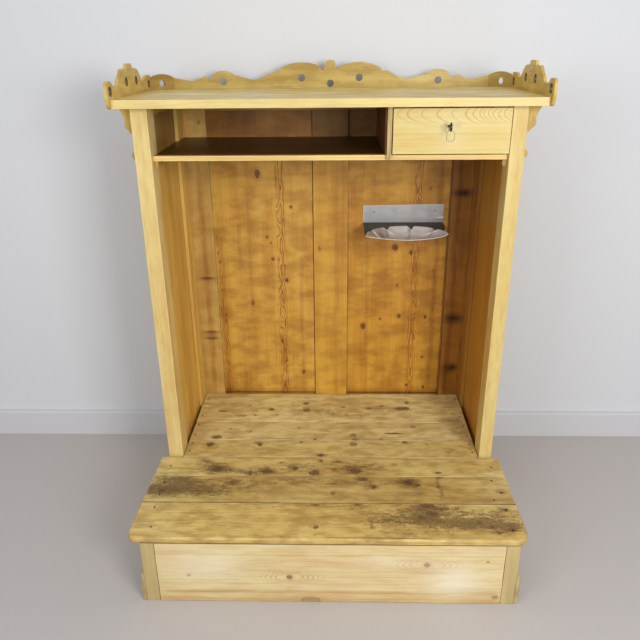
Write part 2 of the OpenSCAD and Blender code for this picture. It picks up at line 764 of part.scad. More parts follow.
module plate_screw_set()
  for (p = plate_screws)
    translate([p[0], plate_y - plate_thick, p[1]]) rotate([90, 0, 0]) {
      cylinder(r = 4.2, h = 1.6, $fn = 24);
      translate([0, 0, -10]) cylinder(r = 1.8, h = 10 + overlap, $fn = 20);
    }

module stoup_plate() color([0.62, 0.62, 0.63]) place() difference() {
  union() {
    translate([0, plate_y, 0]) rotate([90, 0, 0]) linear_extrude(height = plate_thick)
      polygon([[plate_x0, plate_under], [plate_x1, plate_under],
        [plate_x1, plate_top_right], [plate_x0, plate_top_left]]);
    box([plate_x0, plate_front, plate_under], [plate_x1, plate_y, plate_z]);
  }
  // hollow front edge that leaves room for the bowl; two arms reach under the shell's ends
  translate([shell_x, 105, plate_under - 1])
    cylinder(r = 258, h = plate_thick + 2, $fn = 128);
  box([shell_x - 138, plate_front - 1, plate_under - 1], [shell_x + 138, 329, plate_z + 1]);
  // the right arm is cut back behind the end of the shell
  box([436, plate_front - 1, plate_under - 1], [plate_x1 + 1, 395, plate_z + 1]);
  plate_screw_set();
}

module stoup_screws() color([0.42, 0.42, 0.43]) place() plate_screw_set();

// ---------- stoup shell ----------
// rim seen from above: pointed at both ends, smooth in front, lobed at the back;
// angles run from the right end by way of the back
bowl_y = 316;      // the bowl's middle, front to back
rim_middle_y = 292;
shell_steps = 96;  // points around the rim
shell_rings = 9;   // rings from the middle to the rim

function bump(u, centre, width) = exp(-pow((u - centre) / width, 2));
// notches between the lobes; u runs from -1 at the left end to 1 at the right end
function notch(u) = bump(u, -0.47, 0.05) + bump(u, 0.144, 0.05)
  + 0.9 * bump(u, 0.725, 0.045) + 0.6 * bump(u, -0.875, 0.03);
function rim_x(angle) = shell_x + shell_half * cos(angle);
function rim_y(angle) = rim_middle_y + (sin(angle) >= 0
  ? 82 * pow(abs(sin(angle)), 1.1) - 26 * notch(cos(angle)) * pow(abs(sin(angle)), 0.5)
  : -74 * pow(abs(sin(angle)), 1.5));
// the rim rises to the back and dips at the notches
function rim_z(angle) = 1033 + (rim_y(angle) - 215) * 0.076
  + (sin(angle) > 0 ? sin(angle) * (3 - 5 * notch(cos(angle))) : 0);

// points on the two faces of the shell; share runs from 0 in the middle to 1 at the rim
function shell_inner(angle, share) = [
  shell_x + share * (rim_x(angle) - shell_x),
  bowl_y + share * (rim_y(angle) - bowl_y),
  rim_z(angle) * share + (1 - share) * 1037 - shell_depth * pow(1 - share * share * share, 1.5)];
function shell_outer(angle, share) =
  shell_inner(angle, share) - [0, 0, 2.6 + 2.4 * (1 - share)];

// index of a point in its face; the middle is 0
function ring_point(ring, i) = 1 + (ring - 1) * shell_steps + (i % shell_steps);

module stoup_shell() color([0.80, 0.77, 0.74]) place() {
  steps = [0 : shell_steps - 1];
  inner_points = concat([shell_inner(0, 0)],
    [for (ring = [1 : shell_rings]) for (i = steps)
      shell_inner(i * 360 / shell_steps, ring / shell_rings)]);
  outer_points = concat([shell_outer(0, 0)],
    [for (ring = [1 : shell_rings]) for (i = steps)
      shell_outer(i * 360 / shell_steps, ring / shell_rings)]);
  first = len(inner_points); // index of the first outer point
  inner_faces = concat(
    [for (i = steps) [0, ring_point(1, i + 1), ring_point(1, i)]],
    [for (ring = [1 : shell_rings - 1]) for (i = steps) each [
      [ring_point(ring, i), ring_point(ring, i + 1), ring_point(ring + 1, i)],
      [ring_point(ring, i + 1), ring_point(ring + 1, i + 1), ring_point(ring + 1, i)]]]);
  // the same triangles, turned over
  outer_faces = [for (f = inner_faces) [first + f[0], first + f[2], first + f[1]]];
  rim_faces = [for (i = steps)
    let (here = ring_point(shell_rings, i), next = ring_point(shell_rings, i + 1))
    each [[here, next, first + here], [next, first + next, first + here]]];
  polyhedron(points = concat(inner_points, outer_points),
    faces = concat(inner_faces, outer_faces, rim_faces), convexity = 6);
}

// bedding pads between the plate and the shell
// angle around the bowl, share of the way to the rim, slack in that share
pads = [[180, 0.94, 0.035], [0, 0.94, 0.035], [103, 0.89, 0.09], [66.5, 0.89, 0.09]];
pad_r = 4.5;
// just below the lowest point of the shell over the pad
function pad_top(pad) = min([for (turn = [-4.5, 0, 4.5], slack = [-pad[2], 0, pad[2]])
  shell_outer(pad[0] + turn, pad[1] + slack)[2]]) - 0.08;

module stoup_pads() color([0.55, 0.52, 0.48]) place()
  for (pad = pads) {
    spot = shell_outer(pad[0], pad[1]);
    translate([spot.x, spot.y, plate_z]) cylinder(r = pad_r, h = pad_top(pad) - plate_z, $fn = 24);
  }

top_board();
gallery_back();
gallery_corner_left();
gallery_corner_right();
gallery_side_left();
gallery_side_right();
scroll_brackets();
front_post_left();
front_post_right();
rear_stile_left();
rear_stile_right();
side_top_rails();
side_bottom_rails();
side_panel_left();
side_panel_right();
back_stile_left();
back_stile_right();
back_stile_centre();
back_top_rail();
back_bottom_rail();
back_panel_left();
back_panel_right();
shelf();
shelf_cleats();
divider_panel();
divider_strip();
drawer_guide();
drawer_kickers();
drawer_stop();
drawer_front();
drawer_side_left();
drawer_side_right();
drawer_back();
drawer_bottom();
lock_case();
lock_bolt();
lock_screws();
keyhole_pins();
key();
key_ring();
floor_board_front();
floor_board_middle();
floor_board_rear();
floor_bearers();
step_board_front();
step_board_middle();
step_board_rear();
step_riser();
step_corner_posts();
step_side_boards();
step_plinths();
step_rear_rail();
step_bearers();
stoup_plate();
stoup_shell();
stoup_pads();
stoup_screws();
plank_nails();
gallery_nails();
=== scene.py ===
"""Looks of the pine church alcove: aged wood, worn edges, nails, iron, zinc and shell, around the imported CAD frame."""
import json
import math

import bpy
import bmesh
import numpy as np
from mathutils import Vector, Matrix, noise as mn
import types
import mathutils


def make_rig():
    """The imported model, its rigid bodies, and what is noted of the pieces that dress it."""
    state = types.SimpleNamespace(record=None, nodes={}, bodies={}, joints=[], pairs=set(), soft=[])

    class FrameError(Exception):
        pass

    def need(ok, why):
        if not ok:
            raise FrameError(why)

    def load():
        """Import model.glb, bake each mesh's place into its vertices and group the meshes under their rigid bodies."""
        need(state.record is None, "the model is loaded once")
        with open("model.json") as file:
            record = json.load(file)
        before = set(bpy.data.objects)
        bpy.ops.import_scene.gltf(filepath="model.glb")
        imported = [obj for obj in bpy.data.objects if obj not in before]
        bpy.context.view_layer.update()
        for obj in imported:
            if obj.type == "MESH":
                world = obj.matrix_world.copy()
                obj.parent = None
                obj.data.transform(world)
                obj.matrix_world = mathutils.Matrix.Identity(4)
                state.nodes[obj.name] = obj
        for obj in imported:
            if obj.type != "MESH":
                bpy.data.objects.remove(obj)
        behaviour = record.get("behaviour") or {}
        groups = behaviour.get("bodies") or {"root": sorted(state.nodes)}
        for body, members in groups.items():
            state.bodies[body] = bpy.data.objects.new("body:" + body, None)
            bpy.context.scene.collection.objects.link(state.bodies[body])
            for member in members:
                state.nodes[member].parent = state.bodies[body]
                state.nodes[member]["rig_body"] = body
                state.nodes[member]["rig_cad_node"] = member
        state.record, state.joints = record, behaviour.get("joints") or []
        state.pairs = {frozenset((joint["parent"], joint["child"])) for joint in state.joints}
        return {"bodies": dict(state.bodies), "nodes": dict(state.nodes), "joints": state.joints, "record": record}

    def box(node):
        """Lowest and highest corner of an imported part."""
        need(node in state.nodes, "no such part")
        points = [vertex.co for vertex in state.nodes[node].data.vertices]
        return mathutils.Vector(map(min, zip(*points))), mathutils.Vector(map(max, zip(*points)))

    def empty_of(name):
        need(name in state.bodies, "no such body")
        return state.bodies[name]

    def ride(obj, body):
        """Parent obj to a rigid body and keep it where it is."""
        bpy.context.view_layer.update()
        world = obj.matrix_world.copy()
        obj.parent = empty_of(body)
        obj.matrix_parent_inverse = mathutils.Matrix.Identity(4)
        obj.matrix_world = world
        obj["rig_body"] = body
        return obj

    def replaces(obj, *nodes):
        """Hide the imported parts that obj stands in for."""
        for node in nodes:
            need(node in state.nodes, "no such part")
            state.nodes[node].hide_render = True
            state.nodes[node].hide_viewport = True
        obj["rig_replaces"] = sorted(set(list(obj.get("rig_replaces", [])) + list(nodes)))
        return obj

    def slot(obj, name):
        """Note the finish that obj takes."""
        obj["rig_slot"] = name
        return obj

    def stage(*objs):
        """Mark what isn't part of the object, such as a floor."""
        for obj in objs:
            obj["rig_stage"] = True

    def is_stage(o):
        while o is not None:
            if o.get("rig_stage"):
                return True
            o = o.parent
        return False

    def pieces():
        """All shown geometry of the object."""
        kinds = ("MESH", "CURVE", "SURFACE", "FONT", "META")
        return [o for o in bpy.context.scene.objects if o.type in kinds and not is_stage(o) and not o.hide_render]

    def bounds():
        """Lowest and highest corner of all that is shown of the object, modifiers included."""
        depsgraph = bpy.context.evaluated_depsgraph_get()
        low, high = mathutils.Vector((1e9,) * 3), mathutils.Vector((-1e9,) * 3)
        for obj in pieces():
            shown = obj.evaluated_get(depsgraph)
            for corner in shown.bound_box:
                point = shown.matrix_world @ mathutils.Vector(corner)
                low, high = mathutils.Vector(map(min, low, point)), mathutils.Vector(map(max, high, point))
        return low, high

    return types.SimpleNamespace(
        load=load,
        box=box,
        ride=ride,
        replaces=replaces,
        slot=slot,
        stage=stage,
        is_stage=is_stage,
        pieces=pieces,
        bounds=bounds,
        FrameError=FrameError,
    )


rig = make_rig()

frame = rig.load()
CAD_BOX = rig.bounds()
scene = bpy.context.scene
NODES = frame["nodes"]
YM = 30.0  # the frame's Y is the cabinet's Y (0 at the front of the posts) less this, in mm


def W(x, y, z):
    """cabinet millimetres to frame metres"""
    return Vector((x / 1000.0, (y - YM) / 1000.0, z / 1000.0))


def lin(c):
    out = []
    for v in c[:3]:
        v = v / 255.0
        out.append(v / 12.92 if v <= 0.04045 else ((v + 0.055) / 1.055) ** 2.4)
    return (out[0], out[1], out[2], 1.0)


# ------------------------------------------------------------------ node helper
class T:
    def __init__(self, tree):
        self.t = tree

    def n(self, kind, **kw):
        nd = self.t.nodes.new(kind)
        for k, v in kw.items():
            setattr(nd, k, v)
        return nd

    def put(self, sock, v):
        if v is None:
            return
        if isinstance(v, bpy.types.NodeSocket):
            self.t.links.new(v, sock)
        else:
            if sock.type == "RGBA" and not isinstance(v, (int, float)) and len(v) == 3:
                v = (v[0], v[1], v[2], 1.0)
            sock.default_value = v

    def m(self, op, a, b=None, c=None, clamp=False):
        nd = self.n("ShaderNodeMath", operation=op)
        nd.use_clamp = clamp
        self.put(nd.inputs[0], a)
        self.put(nd.inputs[1], b)
        self.put(nd.inputs[2], c)
        return nd.outputs[0]

    def add(self, a, b):
        return self.m("ADD", a, b)

    def sub(self, a, b):
        return self.m("SUBTRACT", a, b)

    def mul(self, a, b):
        return self.m("MULTIPLY", a, b)

    def mad(self, a, b, c):
        return self.m("MULTIPLY_ADD", a, b, c)

    def v(self, op, a, b=None, scale=None):
        nd = self.n("ShaderNodeVectorMath", operation=op)
        self.put(nd.inputs[0], a)
        self.put(nd.inputs[1], b)
        if scale is not None:
            self.put(nd.inputs["Scale"], scale)
        return nd.outputs["Value"] if op in ("LENGTH", "DISTANCE", "DOT_PRODUCT") else nd.outputs[0]

    def comb(self, x, y, z):
        nd = self.n("ShaderNodeCombineXYZ")
        for i, q in enumerate((x, y, z)):
            self.put(nd.inputs[i], q)
        return nd.outputs[0]

    def sep(self, v):
        nd = self.n("ShaderNodeSeparateXYZ")
        self.put(nd.inputs[0], v)
        return nd.outputs[0], nd.outputs[1], nd.outputs[2]

    def noise(self, vec, scale=1.0, detail=2.0, rough=0.5, dist=0.0):
        nd = self.n("ShaderNodeTexNoise")
        self.put(nd.inputs["Vector"], vec)
        nd.inputs["Scale"].default_value = scale
        nd.inputs["Detail"].default_value = detail
        nd.inputs["Roughness"].default_value = rough
        nd.inputs["Distortion"].default_value = dist
        return nd.outputs[0]

    def white(self, x):
        nd = self.n("ShaderNodeTexWhiteNoise", noise_dimensions="1D")
        self.put(nd.inputs["W"], x)
        return nd.outputs[0]

    def smooth(self, x, lo, hi, a=0.0, b=1.0):
        nd = self.n("ShaderNodeMapRange", interpolation_type="SMOOTHSTEP")
        self.put(nd.inputs[0], x)
        self.put(nd.inputs[1], lo)
        self.put(nd.inputs[2], hi)
        self.put(nd.inputs[3], a)
        self.put(nd.inputs[4], b)
        return nd.outputs[0]

    def mixc(self, f, a, b, mode="MIX"):
        nd = self.n("ShaderNodeMix", data_type="RGBA", blend_type=mode)
        self.put(nd.inputs[0], f)
        self.put(nd.inputs[6], a)
        self.put(nd.inputs[7], b)
        return nd.outputs[2]

    def group(self, g, **kw):
        nd = self.n("ShaderNodeGroup")
        nd.node_tree = g
        for k, v in kw.items():
            self.put(nd.inputs[k], v)
        return nd


def new_group(name, ins, outs):
    g = bpy.data.node_groups.new(name, "ShaderNodeTree")
    for n, kind in ins:
        g.interface.new_socket(n, in_out="INPUT", socket_type=kind)
    for n, kind in outs:
        g.interface.new_socket(n, in_out="OUTPUT", socket_type=kind)
    t = T(g)
    gi = t.n("NodeGroupInput")
    go = t.n("NodeGroupOutput")
    return g, t, gi.outputs, go.inputs


def make_knot_group():
    F, V = "NodeSocketFloat", "NodeSocketVector"
    g, t, i, o = new_group("knot", [("P", V), ("C", V), ("Inv", V), ("Size", F), ("Dark", F), ("Mask", F), ("Halo", F), ("Bulge", F)],
                           [("Mask", F), ("Halo", F), ("Bulge", F)])
    d = t.v("LENGTH", t.v("MULTIPLY", t.v("SUBTRACT", i["P"], i["C"]), i["Inv"]))
    body = t.smooth(d, 1.08, 0.82)
    core = t.m("ADD", t.smooth(d, 0.55, 0.1, 0.62, 1.0), t.smooth(t.m("ABSOLUTE", t.sub(d, 0.85)), 0.22, 0.0, 0.0, 0.45))
    t.put(o["Mask"], t.m("MAXIMUM", i["Mask"], t.m("MULTIPLY", t.m("MULTIPLY", body, core), i["Dark"], clamp=True)))
    t.put(o["Halo"], t.m("MAXIMUM", i["Halo"], t.mul(t.smooth(d, 2.3, 0.9), i["Dark"])))
    e = t.m("EXPONENT", t.mul(t.mul(d, d), -0.22))
    t.put(o["Bulge"], t.mad(e, i["Size"], i["Bulge"]))
    return g


def make_stain_group():
    F, V = "NodeSocketFloat", "NodeSocketVector"
    g, t, i, o = new_group("stain", [("P", V), ("C", V), ("Inv", V), ("S", F), ("Acc", F)], [("Acc", F)])
    d = t.v("LENGTH", t.v("MULTIPLY", t.v("SUBTRACT", i["P"], i["C"]), i["Inv"]))
    e = t.m("EXPONENT", t.mul(t.mul(d, d), -1.1))
    t.put(o["Acc"], t.mad(e, i["S"], i["Acc"]))
    return g


# colour factor of each board against the common palette; besides each board's own tone it holds painted light and
# shade: the darker right inner side (rear_stile_right, side_panel_right, back_stile_right) and the dark divider_panel
# in the bay, against the paler left inner side
BOARD_TONE_AND_SHADE_GAIN = {
    "back_panel_left": (1.27, 1.456, 1.258),
    "back_panel_right": (1.136, 1.139, 0.627),
    "back_stile_centre": (1.165, 1.245, 0.83),
    "back_stile_left": (1.179, 1.511, 2.147),
    "back_stile_right": (1.11, 1.055, 0.524),
    "divider_panel": (0.353, 0.23, 0.124),
    "divider_strip": (1.101, 1.183, 1.179),
    "drawer_front": (0.825, 0.835, 0.751),
    "floor_board_front": (1.271, 1.442, 1.741),
    "floor_board_middle": (1.357, 1.626, 2.255),
    "floor_board_rear": (1.494, 1.867, 2.645),
    "front_post_left": (0.95, 0.95, 0.904),
    "front_post_right": (0.893, 0.905, 0.794),
    "gallery_back": (1.01, 1.285, 1.435),
    "gallery_corner_left": (0.818, 0.916, 0.83),
    "gallery_corner_right": (0.909, 1.054, 1.096),
    "gallery_side_left": (1.112, 1.331, 1.304),
    "gallery_side_right": (1.165, 1.372, 1.065),
    "rear_stile_left": (1.413, 1.832, 2.253),
    "rear_stile_right": (0.687, 0.632, 0.491),
    "scroll_brackets": (1.153, 1.375, 0.928),
    "shelf": (1.4, 1.5, 1.55),
    "shelf_cleats": (0.755, 0.764, 0.632),
    "side_panel_left": (1.264, 1.562, 1.761),
    "side_panel_right": (0.858, 0.813, 0.505),
    "side_top_rails": (1.35, 1.45, 1.6),
    "step_board_front": (1.264, 1.334, 1.395),
    "step_board_middle": (1.121, 1.194, 1.296),
    "step_board_rear": (1.281, 1.436, 1.665),
    "step_corner_posts": (1.059, 1.023, 0.994),
    "step_plinths": (0.855, 0.971, 1.576),
    "step_riser": (0.971, 1.011, 1.004),
    "stoup_shell": (1.193, 1.303, 1.469),
    "top_board": (1.205, 1.305, 1.151),
}
KNOT = make_knot_group()
STAIN = make_stain_group()
AX = {"x": 0, "y": 1, "z": 2}


def wood(name, grain, face, seed, box=None, pith=(0.0, -40.0), slope=(0.0, 0.0), mid=0.0, wob=(6.0, 6.0), wob_len=260.0, ring=4.2, warp=1.1,
         early=(226, 190, 110), late=(176, 118, 46), contrast=0.75, calm=(0.35, 0.75), tone=(205, 150, 80), tone_f=0.45, light=(240, 212, 140), light_f=0.3,
         knots=(), stains=(), stain_col=(84, 68, 44), stain_gain=1.0, holes=(), edge=(250, 232, 170), edge_f=0.25, edge_w=4.0, dirt=0.0, dirt_col=(92, 70, 40),
         rough=0.46, coat=0.12, bump=0.25, rot=None, lines=(), fibre=0.12, value=1.0, zgrad=None, extra=None,
         bands=(), seams=(), spots=(), ragged=1.0, flames=(), circles=(), mottle=0.0, mottle_col=(176, 144, 106), mottle_len=(50.0, 110.0), halo_f=0.42, knot_col=(74, 44, 22), stain_n=(1.5, 0.7), inner=None):
    """Solid wood: growth rings round a tilted pith, fibres, knots that push the rings aside, stains, worn arrises."""
    mat = bpy.data.materials.new(name)
    mat.use_nodes = True
    t = T(mat.node_tree)
    t.t.nodes.clear()
    out = t.n("ShaderNodeOutputMaterial")
    bs = t.n("ShaderNodeBsdfPrincipled")
    t.t.links.new(bs.outputs[0], out.inputs[0])
    co = t.n("ShaderNodeTexCoord").outputs["Object"]
    P = t.v("ADD", t.v("SCALE", co, scale=1000.0), (0.0, YM, 0.0))
    if rot is not None:  # boards that stand at an angle: turn the coordinates about Z through a point
        nd = t.n("ShaderNodeVectorRotate", rotation_type="Z_AXIS")
        t.put(nd.inputs["Vector"], P)
        nd.inputs["Center"].default_value = rot[1]
        nd.inputs["Angle"].default_value = math.radians(rot[0])
        P = nd.outputs[0]
    c = t.sep(P)
    L, B = c[AX[grain]], c[AX[face]]
    A = c[3 - AX[grain] - AX[face]]
    s = seed * 13.37
    # warped plane coordinates for knots and stains
    nw = t.n("ShaderNodeTexNoise")
    t.put(nw.inputs["Vector"], t.v("ADD", t.v("SCALE", P, scale=0.035), (s, s * 0.7, -s)))
    nw.inputs["Detail"].default_value = 2.0
    wv = t.v("SCALE", t.v("SUBTRACT", nw.outputs["Color"], (0.5, 0.5, 0.5)), scale=9.0)
    LA = t.comb(L, A, 0.0)
    nw2 = t.n("ShaderNodeTexNoise")
    t.put(nw2.inputs["Vector"], t.v("ADD", t.v("SCALE", P, scale=0.14), (-s, s, s * 0.3)))
    nw2.inputs["Detail"].default_value = 3.0
    wv = t.v("ADD", t.v("SCALE", wv, scale=ragged), t.v("SCALE", t.v("SUBTRACT", nw2.outputs["Color"], (0.5, 0.5, 0.5)), scale=9.0 * (ragged - 0.6)))
    LAw = t.v("ADD", LA, wv)
    LAw = t.v("MULTIPLY", LAw, (1.0, 1.0, 0.0))
    mask, halo, bulge = 0.0, 0.0, 0.0
    for k in knots:
        kl, ka, ks, kd = k[:4]
        el = k[4] if len(k) > 4 else 1.25
        nd = t.group(KNOT, P=LAw, C=(kl, ka, 0.0), Inv=(1.0 / (ks * el), 1.0 / ks, 0.0), Size=ks * (k[5] if len(k) > 5 else 0.9), Dark=kd, Mask=mask, Halo=halo, Bulge=bulge)
        mask, halo, bulge = nd.outputs[0], nd.outputs[1], nd.outputs[2]
    # rings
    lw = t.mul(L, 1.0 / wob_len)
    wa = t.mul(t.sub(t.noise(t.comb(lw, s, 3.1), 1.0, 1.5), 0.5), 2.0 * wob[0])
    wb = t.mul(t.sub(t.noise(t.comb(lw, s + 9.0, 7.7), 1.0, 1.5), 0.5), 2.0 * wob[1])
    a = t.sub(t.sub(t.mad(t.sub(L, mid), -slope[0], A), pith[0]), wa)
    b = t.sub(t.sub(t.mad(t.sub(L, mid), -slope[1], B), pith[1]), wb)
    r = t.m("SQRT", t.add(t.mul(a, a), t.mul(b, b)))
    fw = t.noise(t.comb(t.mad(L, 1 / 85.0, s), t.mul(A, 1 / 16.0), t.mul(B, 1 / 16.0)), 1.0, 2.0)
    r = t.mad(t.sub(fw, 0.5), 2.0 * warp, r)
    r = t.sub(r, bulge)
    ph = t.m("DIVIDE", r, ring)
    kf = t.m("FLOOR", ph)
    fr = t.m("FRACT", ph)
    rnd = t.white(t.add(kf, s))
    late_m = t.mul(t.smooth(fr, 0.30, 0.90), t.smooth(fr, 1.0, 0.92))
    late_m = t.mul(late_m, t.mad(rnd, 0.75, 0.4))
    reg = t.smooth(t.noise(t.comb(t.mad(L, 1 / 330.0, s), t.mul(A, 1 / 70.0), t.mul(B, 1 / 70.0)), 1.0, 2.0), calm[0], calm[1], 0.35, 1.0)
    lf = t.m("MULTIPLY", t.mul(late_m, contrast), reg, clamp=True)
    col = t.mixc(lf, lin(early), lin(late))
    # clouds of tone
    n1 = t.noise(t.comb(t.mad(L, 1 / 420.0, s), t.mul(A, 1 / 60.0), t.mul(B, 1 / 60.0)), 1.0, 2.5, 0.5)
    col = t.mixc(t.smooth(n1, 0.3, 0.75, 0.0, tone_f), col, t.mixc(1.0, col, lin(tone), "MULTIPLY"))
    n2 = t.noise(t.comb(t.mad(L, 1 / 350.0, s + 31.0), t.mul(A, 1 / 45.0), t.mul(B, 1 / 45.0)), 1.0, 2.5, 0.5)
    col = t.mixc(t.smooth(n2, 0.42, 0.8, 0.0, light_f), col, lin(light))
    # streaks of tone that follow the grain (L0, L1, A, half width, strength, colour to multiply by)
    for (l0, l1, la, bw, bst, bc) in bands:
        mid_a = t.mad(t.sub(t.noise(t.comb(t.mul(L, 1 / 170.0), la, s), 1.0, 2.0), 0.5), bw * 1.8, la)
        db = t.m("ABSOLUTE", t.sub(A, mid_a))
        fine = t.noise(t.comb(t.mul(L, 1 / 140.0), t.mul(A, 1 / 3.2), s + la), 1.0, 2.0, 0.6)
        fb = t.mul(t.mul(t.smooth(db, bw, bw * 0.1), t.mul(t.smooth(L, l0, l0 + 40.0), t.smooth(L, l1, l1 - 40.0))), t.smooth(fine, 0.25, 0.65, 0.35, 1.0))
        col = t.mixc(t.mul(fb, bst), col, t.mixc(1.0, col, lin(bc), "MULTIPLY"))
    # cathedral lines: nested parabolas (L of the first tip, A of the axis, spacing, count, curvature, half width, strength, colour)
    for (f0, f1, fa, fwid, fst, fcol) in flames:
        da = t.sub(A, t.mad(t.sub(t.noise(t.comb(t.mul(L, 1 / 230.0), fa, s), 1.0, 1.0), 0.5), fwid * 0.8, fa))
        nfl = t.noise(t.comb(t.mul(L, 1 / 74.0), t.mul(da, 1.0 / (fwid * 1.5)), s + fa), 1.0, 1.0, 0.35)
        vfl = t.add(t.mul(nfl, 5.2), t.mul(t.m("ABSOLUTE", da), 2.2 / fwid))
        frf = t.m("FRACT", vfl)
        ln = t.mul(t.smooth(frf, 0.45, 0.85), t.smooth(frf, 1.0, 0.9))
        ln = t.mul(ln, t.mul(t.smooth(L, f0, f0 + 30.0), t.smooth(L, f1, f1 - 30.0)))
        ln = t.mul(ln, t.smooth(t.m("ABSOLUTE", da), fwid, fwid * 0.5))
        col = t.mixc(t.m("MULTIPLY", ln, fst, clamp=True), col, t.mixc(1.0, col, lin(fcol), "MULTIPLY"))
    for (kl, ka, k0, ks_, kc, kr_, kst, kcol) in circles:
        dc = t.v("LENGTH", t.v("MULTIPLY", t.v("SUBTRACT", LAw, (kl, ka, 0.0)), (kr_, 1.0, 0.0)))
        phc = t.m("DIVIDE", t.sub(t.mad(t.sub(fw, 0.5), 3.0, dc), k0), ks_)
        frc = t.m("FRACT", phc)
        ln = t.mul(t.mul(t.smooth(frc, 0.4, 0.9), t.smooth(frc, 1.0, 0.94)), t.mul(t.smooth(phc, 0.0, 0.2), t.smooth(phc, kc, kc * 0.3)))
        col = t.mixc(t.m("MULTIPLY", ln, kst, clamp=True), col, t.mixc(1.0, col, lin(kcol), "MULTIPLY"))
    if mottle > 0:
        nm1 = t.noise(t.comb(t.mad(L, 1.0 / mottle_len[0], s + 7.0), t.mul(A, 1.0 / mottle_len[1]), t.mul(B, 1.0 / mottle_len[1])), 1.0, 3.0, 0.55)
        nm2 = t.noise(t.comb(t.mad(L, 1 / 60.0, s + 17.0), t.mul(A, 1 / 3.5), t.mul(B, 1 / 3.5)), 1.0, 2.0, 0.6)
        mf = t.smooth(t.mad(t.sub(nm2, 0.5), 0.16, nm1), 0.36, 0.68)
        col = t.mixc(t.mul(mf, mottle), col, t.mixc(1.0, col, lin(mottle_col), "MULTIPLY"))
    # fibres
    nf = t.noise(t.comb(t.mad(L, 1 / 22.0, s), t.mul(A, 0.75), t.mul(B, 0.75)), 1.0, 2.0, 0.6)
    fv = t.mad(t.sub(nf, 0.5), 2.0 * fibre, value)
    hsv = t.n("ShaderNodeHueSaturation")
    t.put(hsv.inputs["Value"], fv)
    t.put(hsv.inputs["Color"], col)
    col = hsv.outputs[0]
    # open grain that holds dirt
    if dirt > 0:
        nd1 = t.noise(t.comb(t.mad(L, 1 / 26.0, s + 5.0), t.mul(A, 1 / 2.2), t.mul(B, 1 / 2.2)), 1.0, 3.0, 0.65)
        nd2 = t.noise(t.comb(t.mad(L, 1 / 90.0, s + 55.0), t.mul(A, 1 / 40.0), t.mul(B, 1 / 40.0)), 1.0, 3.0, 0.6)
        df = t.mul(t.smooth(nd1, 0.56, 0.72), t.smooth(nd2, 0.38, 0.66, 0.15, 1.0))
        col = t.mixc(t.mul(df, dirt), col, lin(dirt_col))
    # dark lines that run along the grain: cracks and shakes (L0, L1, A, width, strength)
    for (l0, l1, la, lw_, ls) in lines:
        wavy = t.mad(t.sub(t.noise(t.comb(t.mul(L, 1 / 45.0), la, s), 1.0, 2.0), 0.5), 7.0, la)
        dl = t.m("ABSOLUTE", t.sub(A, wavy))
        inl = t.mul(t.smooth(L, l0, l0 + 25.0), t.smooth(L, l1, l1 - 25.0))
        col = t.mixc(t.mul(t.mul(t.smooth(dl, lw_, lw_ * 0.3), inl), ls), col, lin((52, 36, 20)))
    # knots
    if knots:
        kn = t.noise(t.v("SCALE", P, scale=0.45), 1.0, 2.0)
        col = t.mixc(t.mul(halo, halo_f), col, lin((170, 108, 44)))
        col = t.mixc(t.m("MULTIPLY", mask, t.mad(kn, 0.5, 0.72), clamp=True), col, lin(knot_col))
    # stains
    acc = 0.0
    for st in stains:
        nd = t.group(STAIN, P=LA, C=(st[0], st[1], 0.0), Inv=(1.0 / st[2], 1.0 / st[3], 0.0), S=st[4], Acc=acc)
        acc = nd.outputs[0]
    sf = None
    if stains:
        ns = t.noise(t.comb(t.mad(L, 1 / 30.0, s + 2.0), t.mul(A, 1 / 11.0), t.mul(B, 1 / 11.0)), 1.0, 4.0, 0.7)
        ns2 = t.noise(t.comb(t.mad(L, 1 / 7.0, s + 8.0), t.mul(A, 1 / 2.4), t.mul(B, 1 / 2.4)), 1.0, 2.0, 0.6)
        sf = t.smooth(t.add(t.mad(t.mul(t.sub(ns, 0.5), t.m("MINIMUM", t.mul(acc, 2.5), 1.0)), stain_n[0], acc), t.mul(t.mul(t.sub(ns2, 0.5), t.m("MINIMUM", t.mul(acc, 2.5), 1.0)), stain_n[1])), 0.2, 1.35, 0.0, stain_gain)
        col = t.mixc(t.m("MULTIPLY", sf, t.mad(ns2, 0.9, 0.32), clamp=True), col, lin(stain_col))
    # marks and painted shade that only the inner face shows (axis, value outside, value inside)
    fi = 1.0 if inner is None else t.smooth(c[AX[inner[0]]], inner[1], inner[2])
    # soft spots (L, A, rL, rA, strength, colour): marks in the wood, and on the drawer front and the riser also painted
    # highlights
    for (sl, sa, rl, ra, ss, sc) in spots:
        nd = t.group(STAIN, P=LAw, C=(sl, sa, 0.0), Inv=(1.0 / rl, 1.0 / ra, 0.0), S=ss, Acc=0.0)
        col = t.mixc(t.m("MULTIPLY", nd.outputs[0], fi, clamp=True), col, lin(sc))
    # worn arrises: nearest distance from an edge of the board's box
    if box is not None:
        lo, hi = box
        dx = t.m("MINIMUM", t.sub(c[0], lo[0]), t.sub(hi[0], c[0]))
        dy = t.m("MINIMUM", t.sub(c[1], lo[1]), t.sub(hi[1], c[1]))
        dz = t.m("MINIMUM", t.sub(c[2], lo[2]), t.sub(hi[2], c[2]))
        mn_, mx_ = t.m("MINIMUM", dx, dy), t.m("MAXIMUM", dx, dy)
        mid_ = t.m("MAXIMUM", mn_, t.m("MINIMUM", mx_, dz))
        ne = t.noise(t.v("ADD", t.v("SCALE", P, scale=0.03), (s, 0.0, 2.0)), 1.0, 3.0, 0.6)
        ew = t.smooth(mid_, t.mad(ne, edge_w * 1.6, edge_w * 0.3), 0.0)
        col = t.mixc(t.mul(ew, edge_f), col, lin(edge))
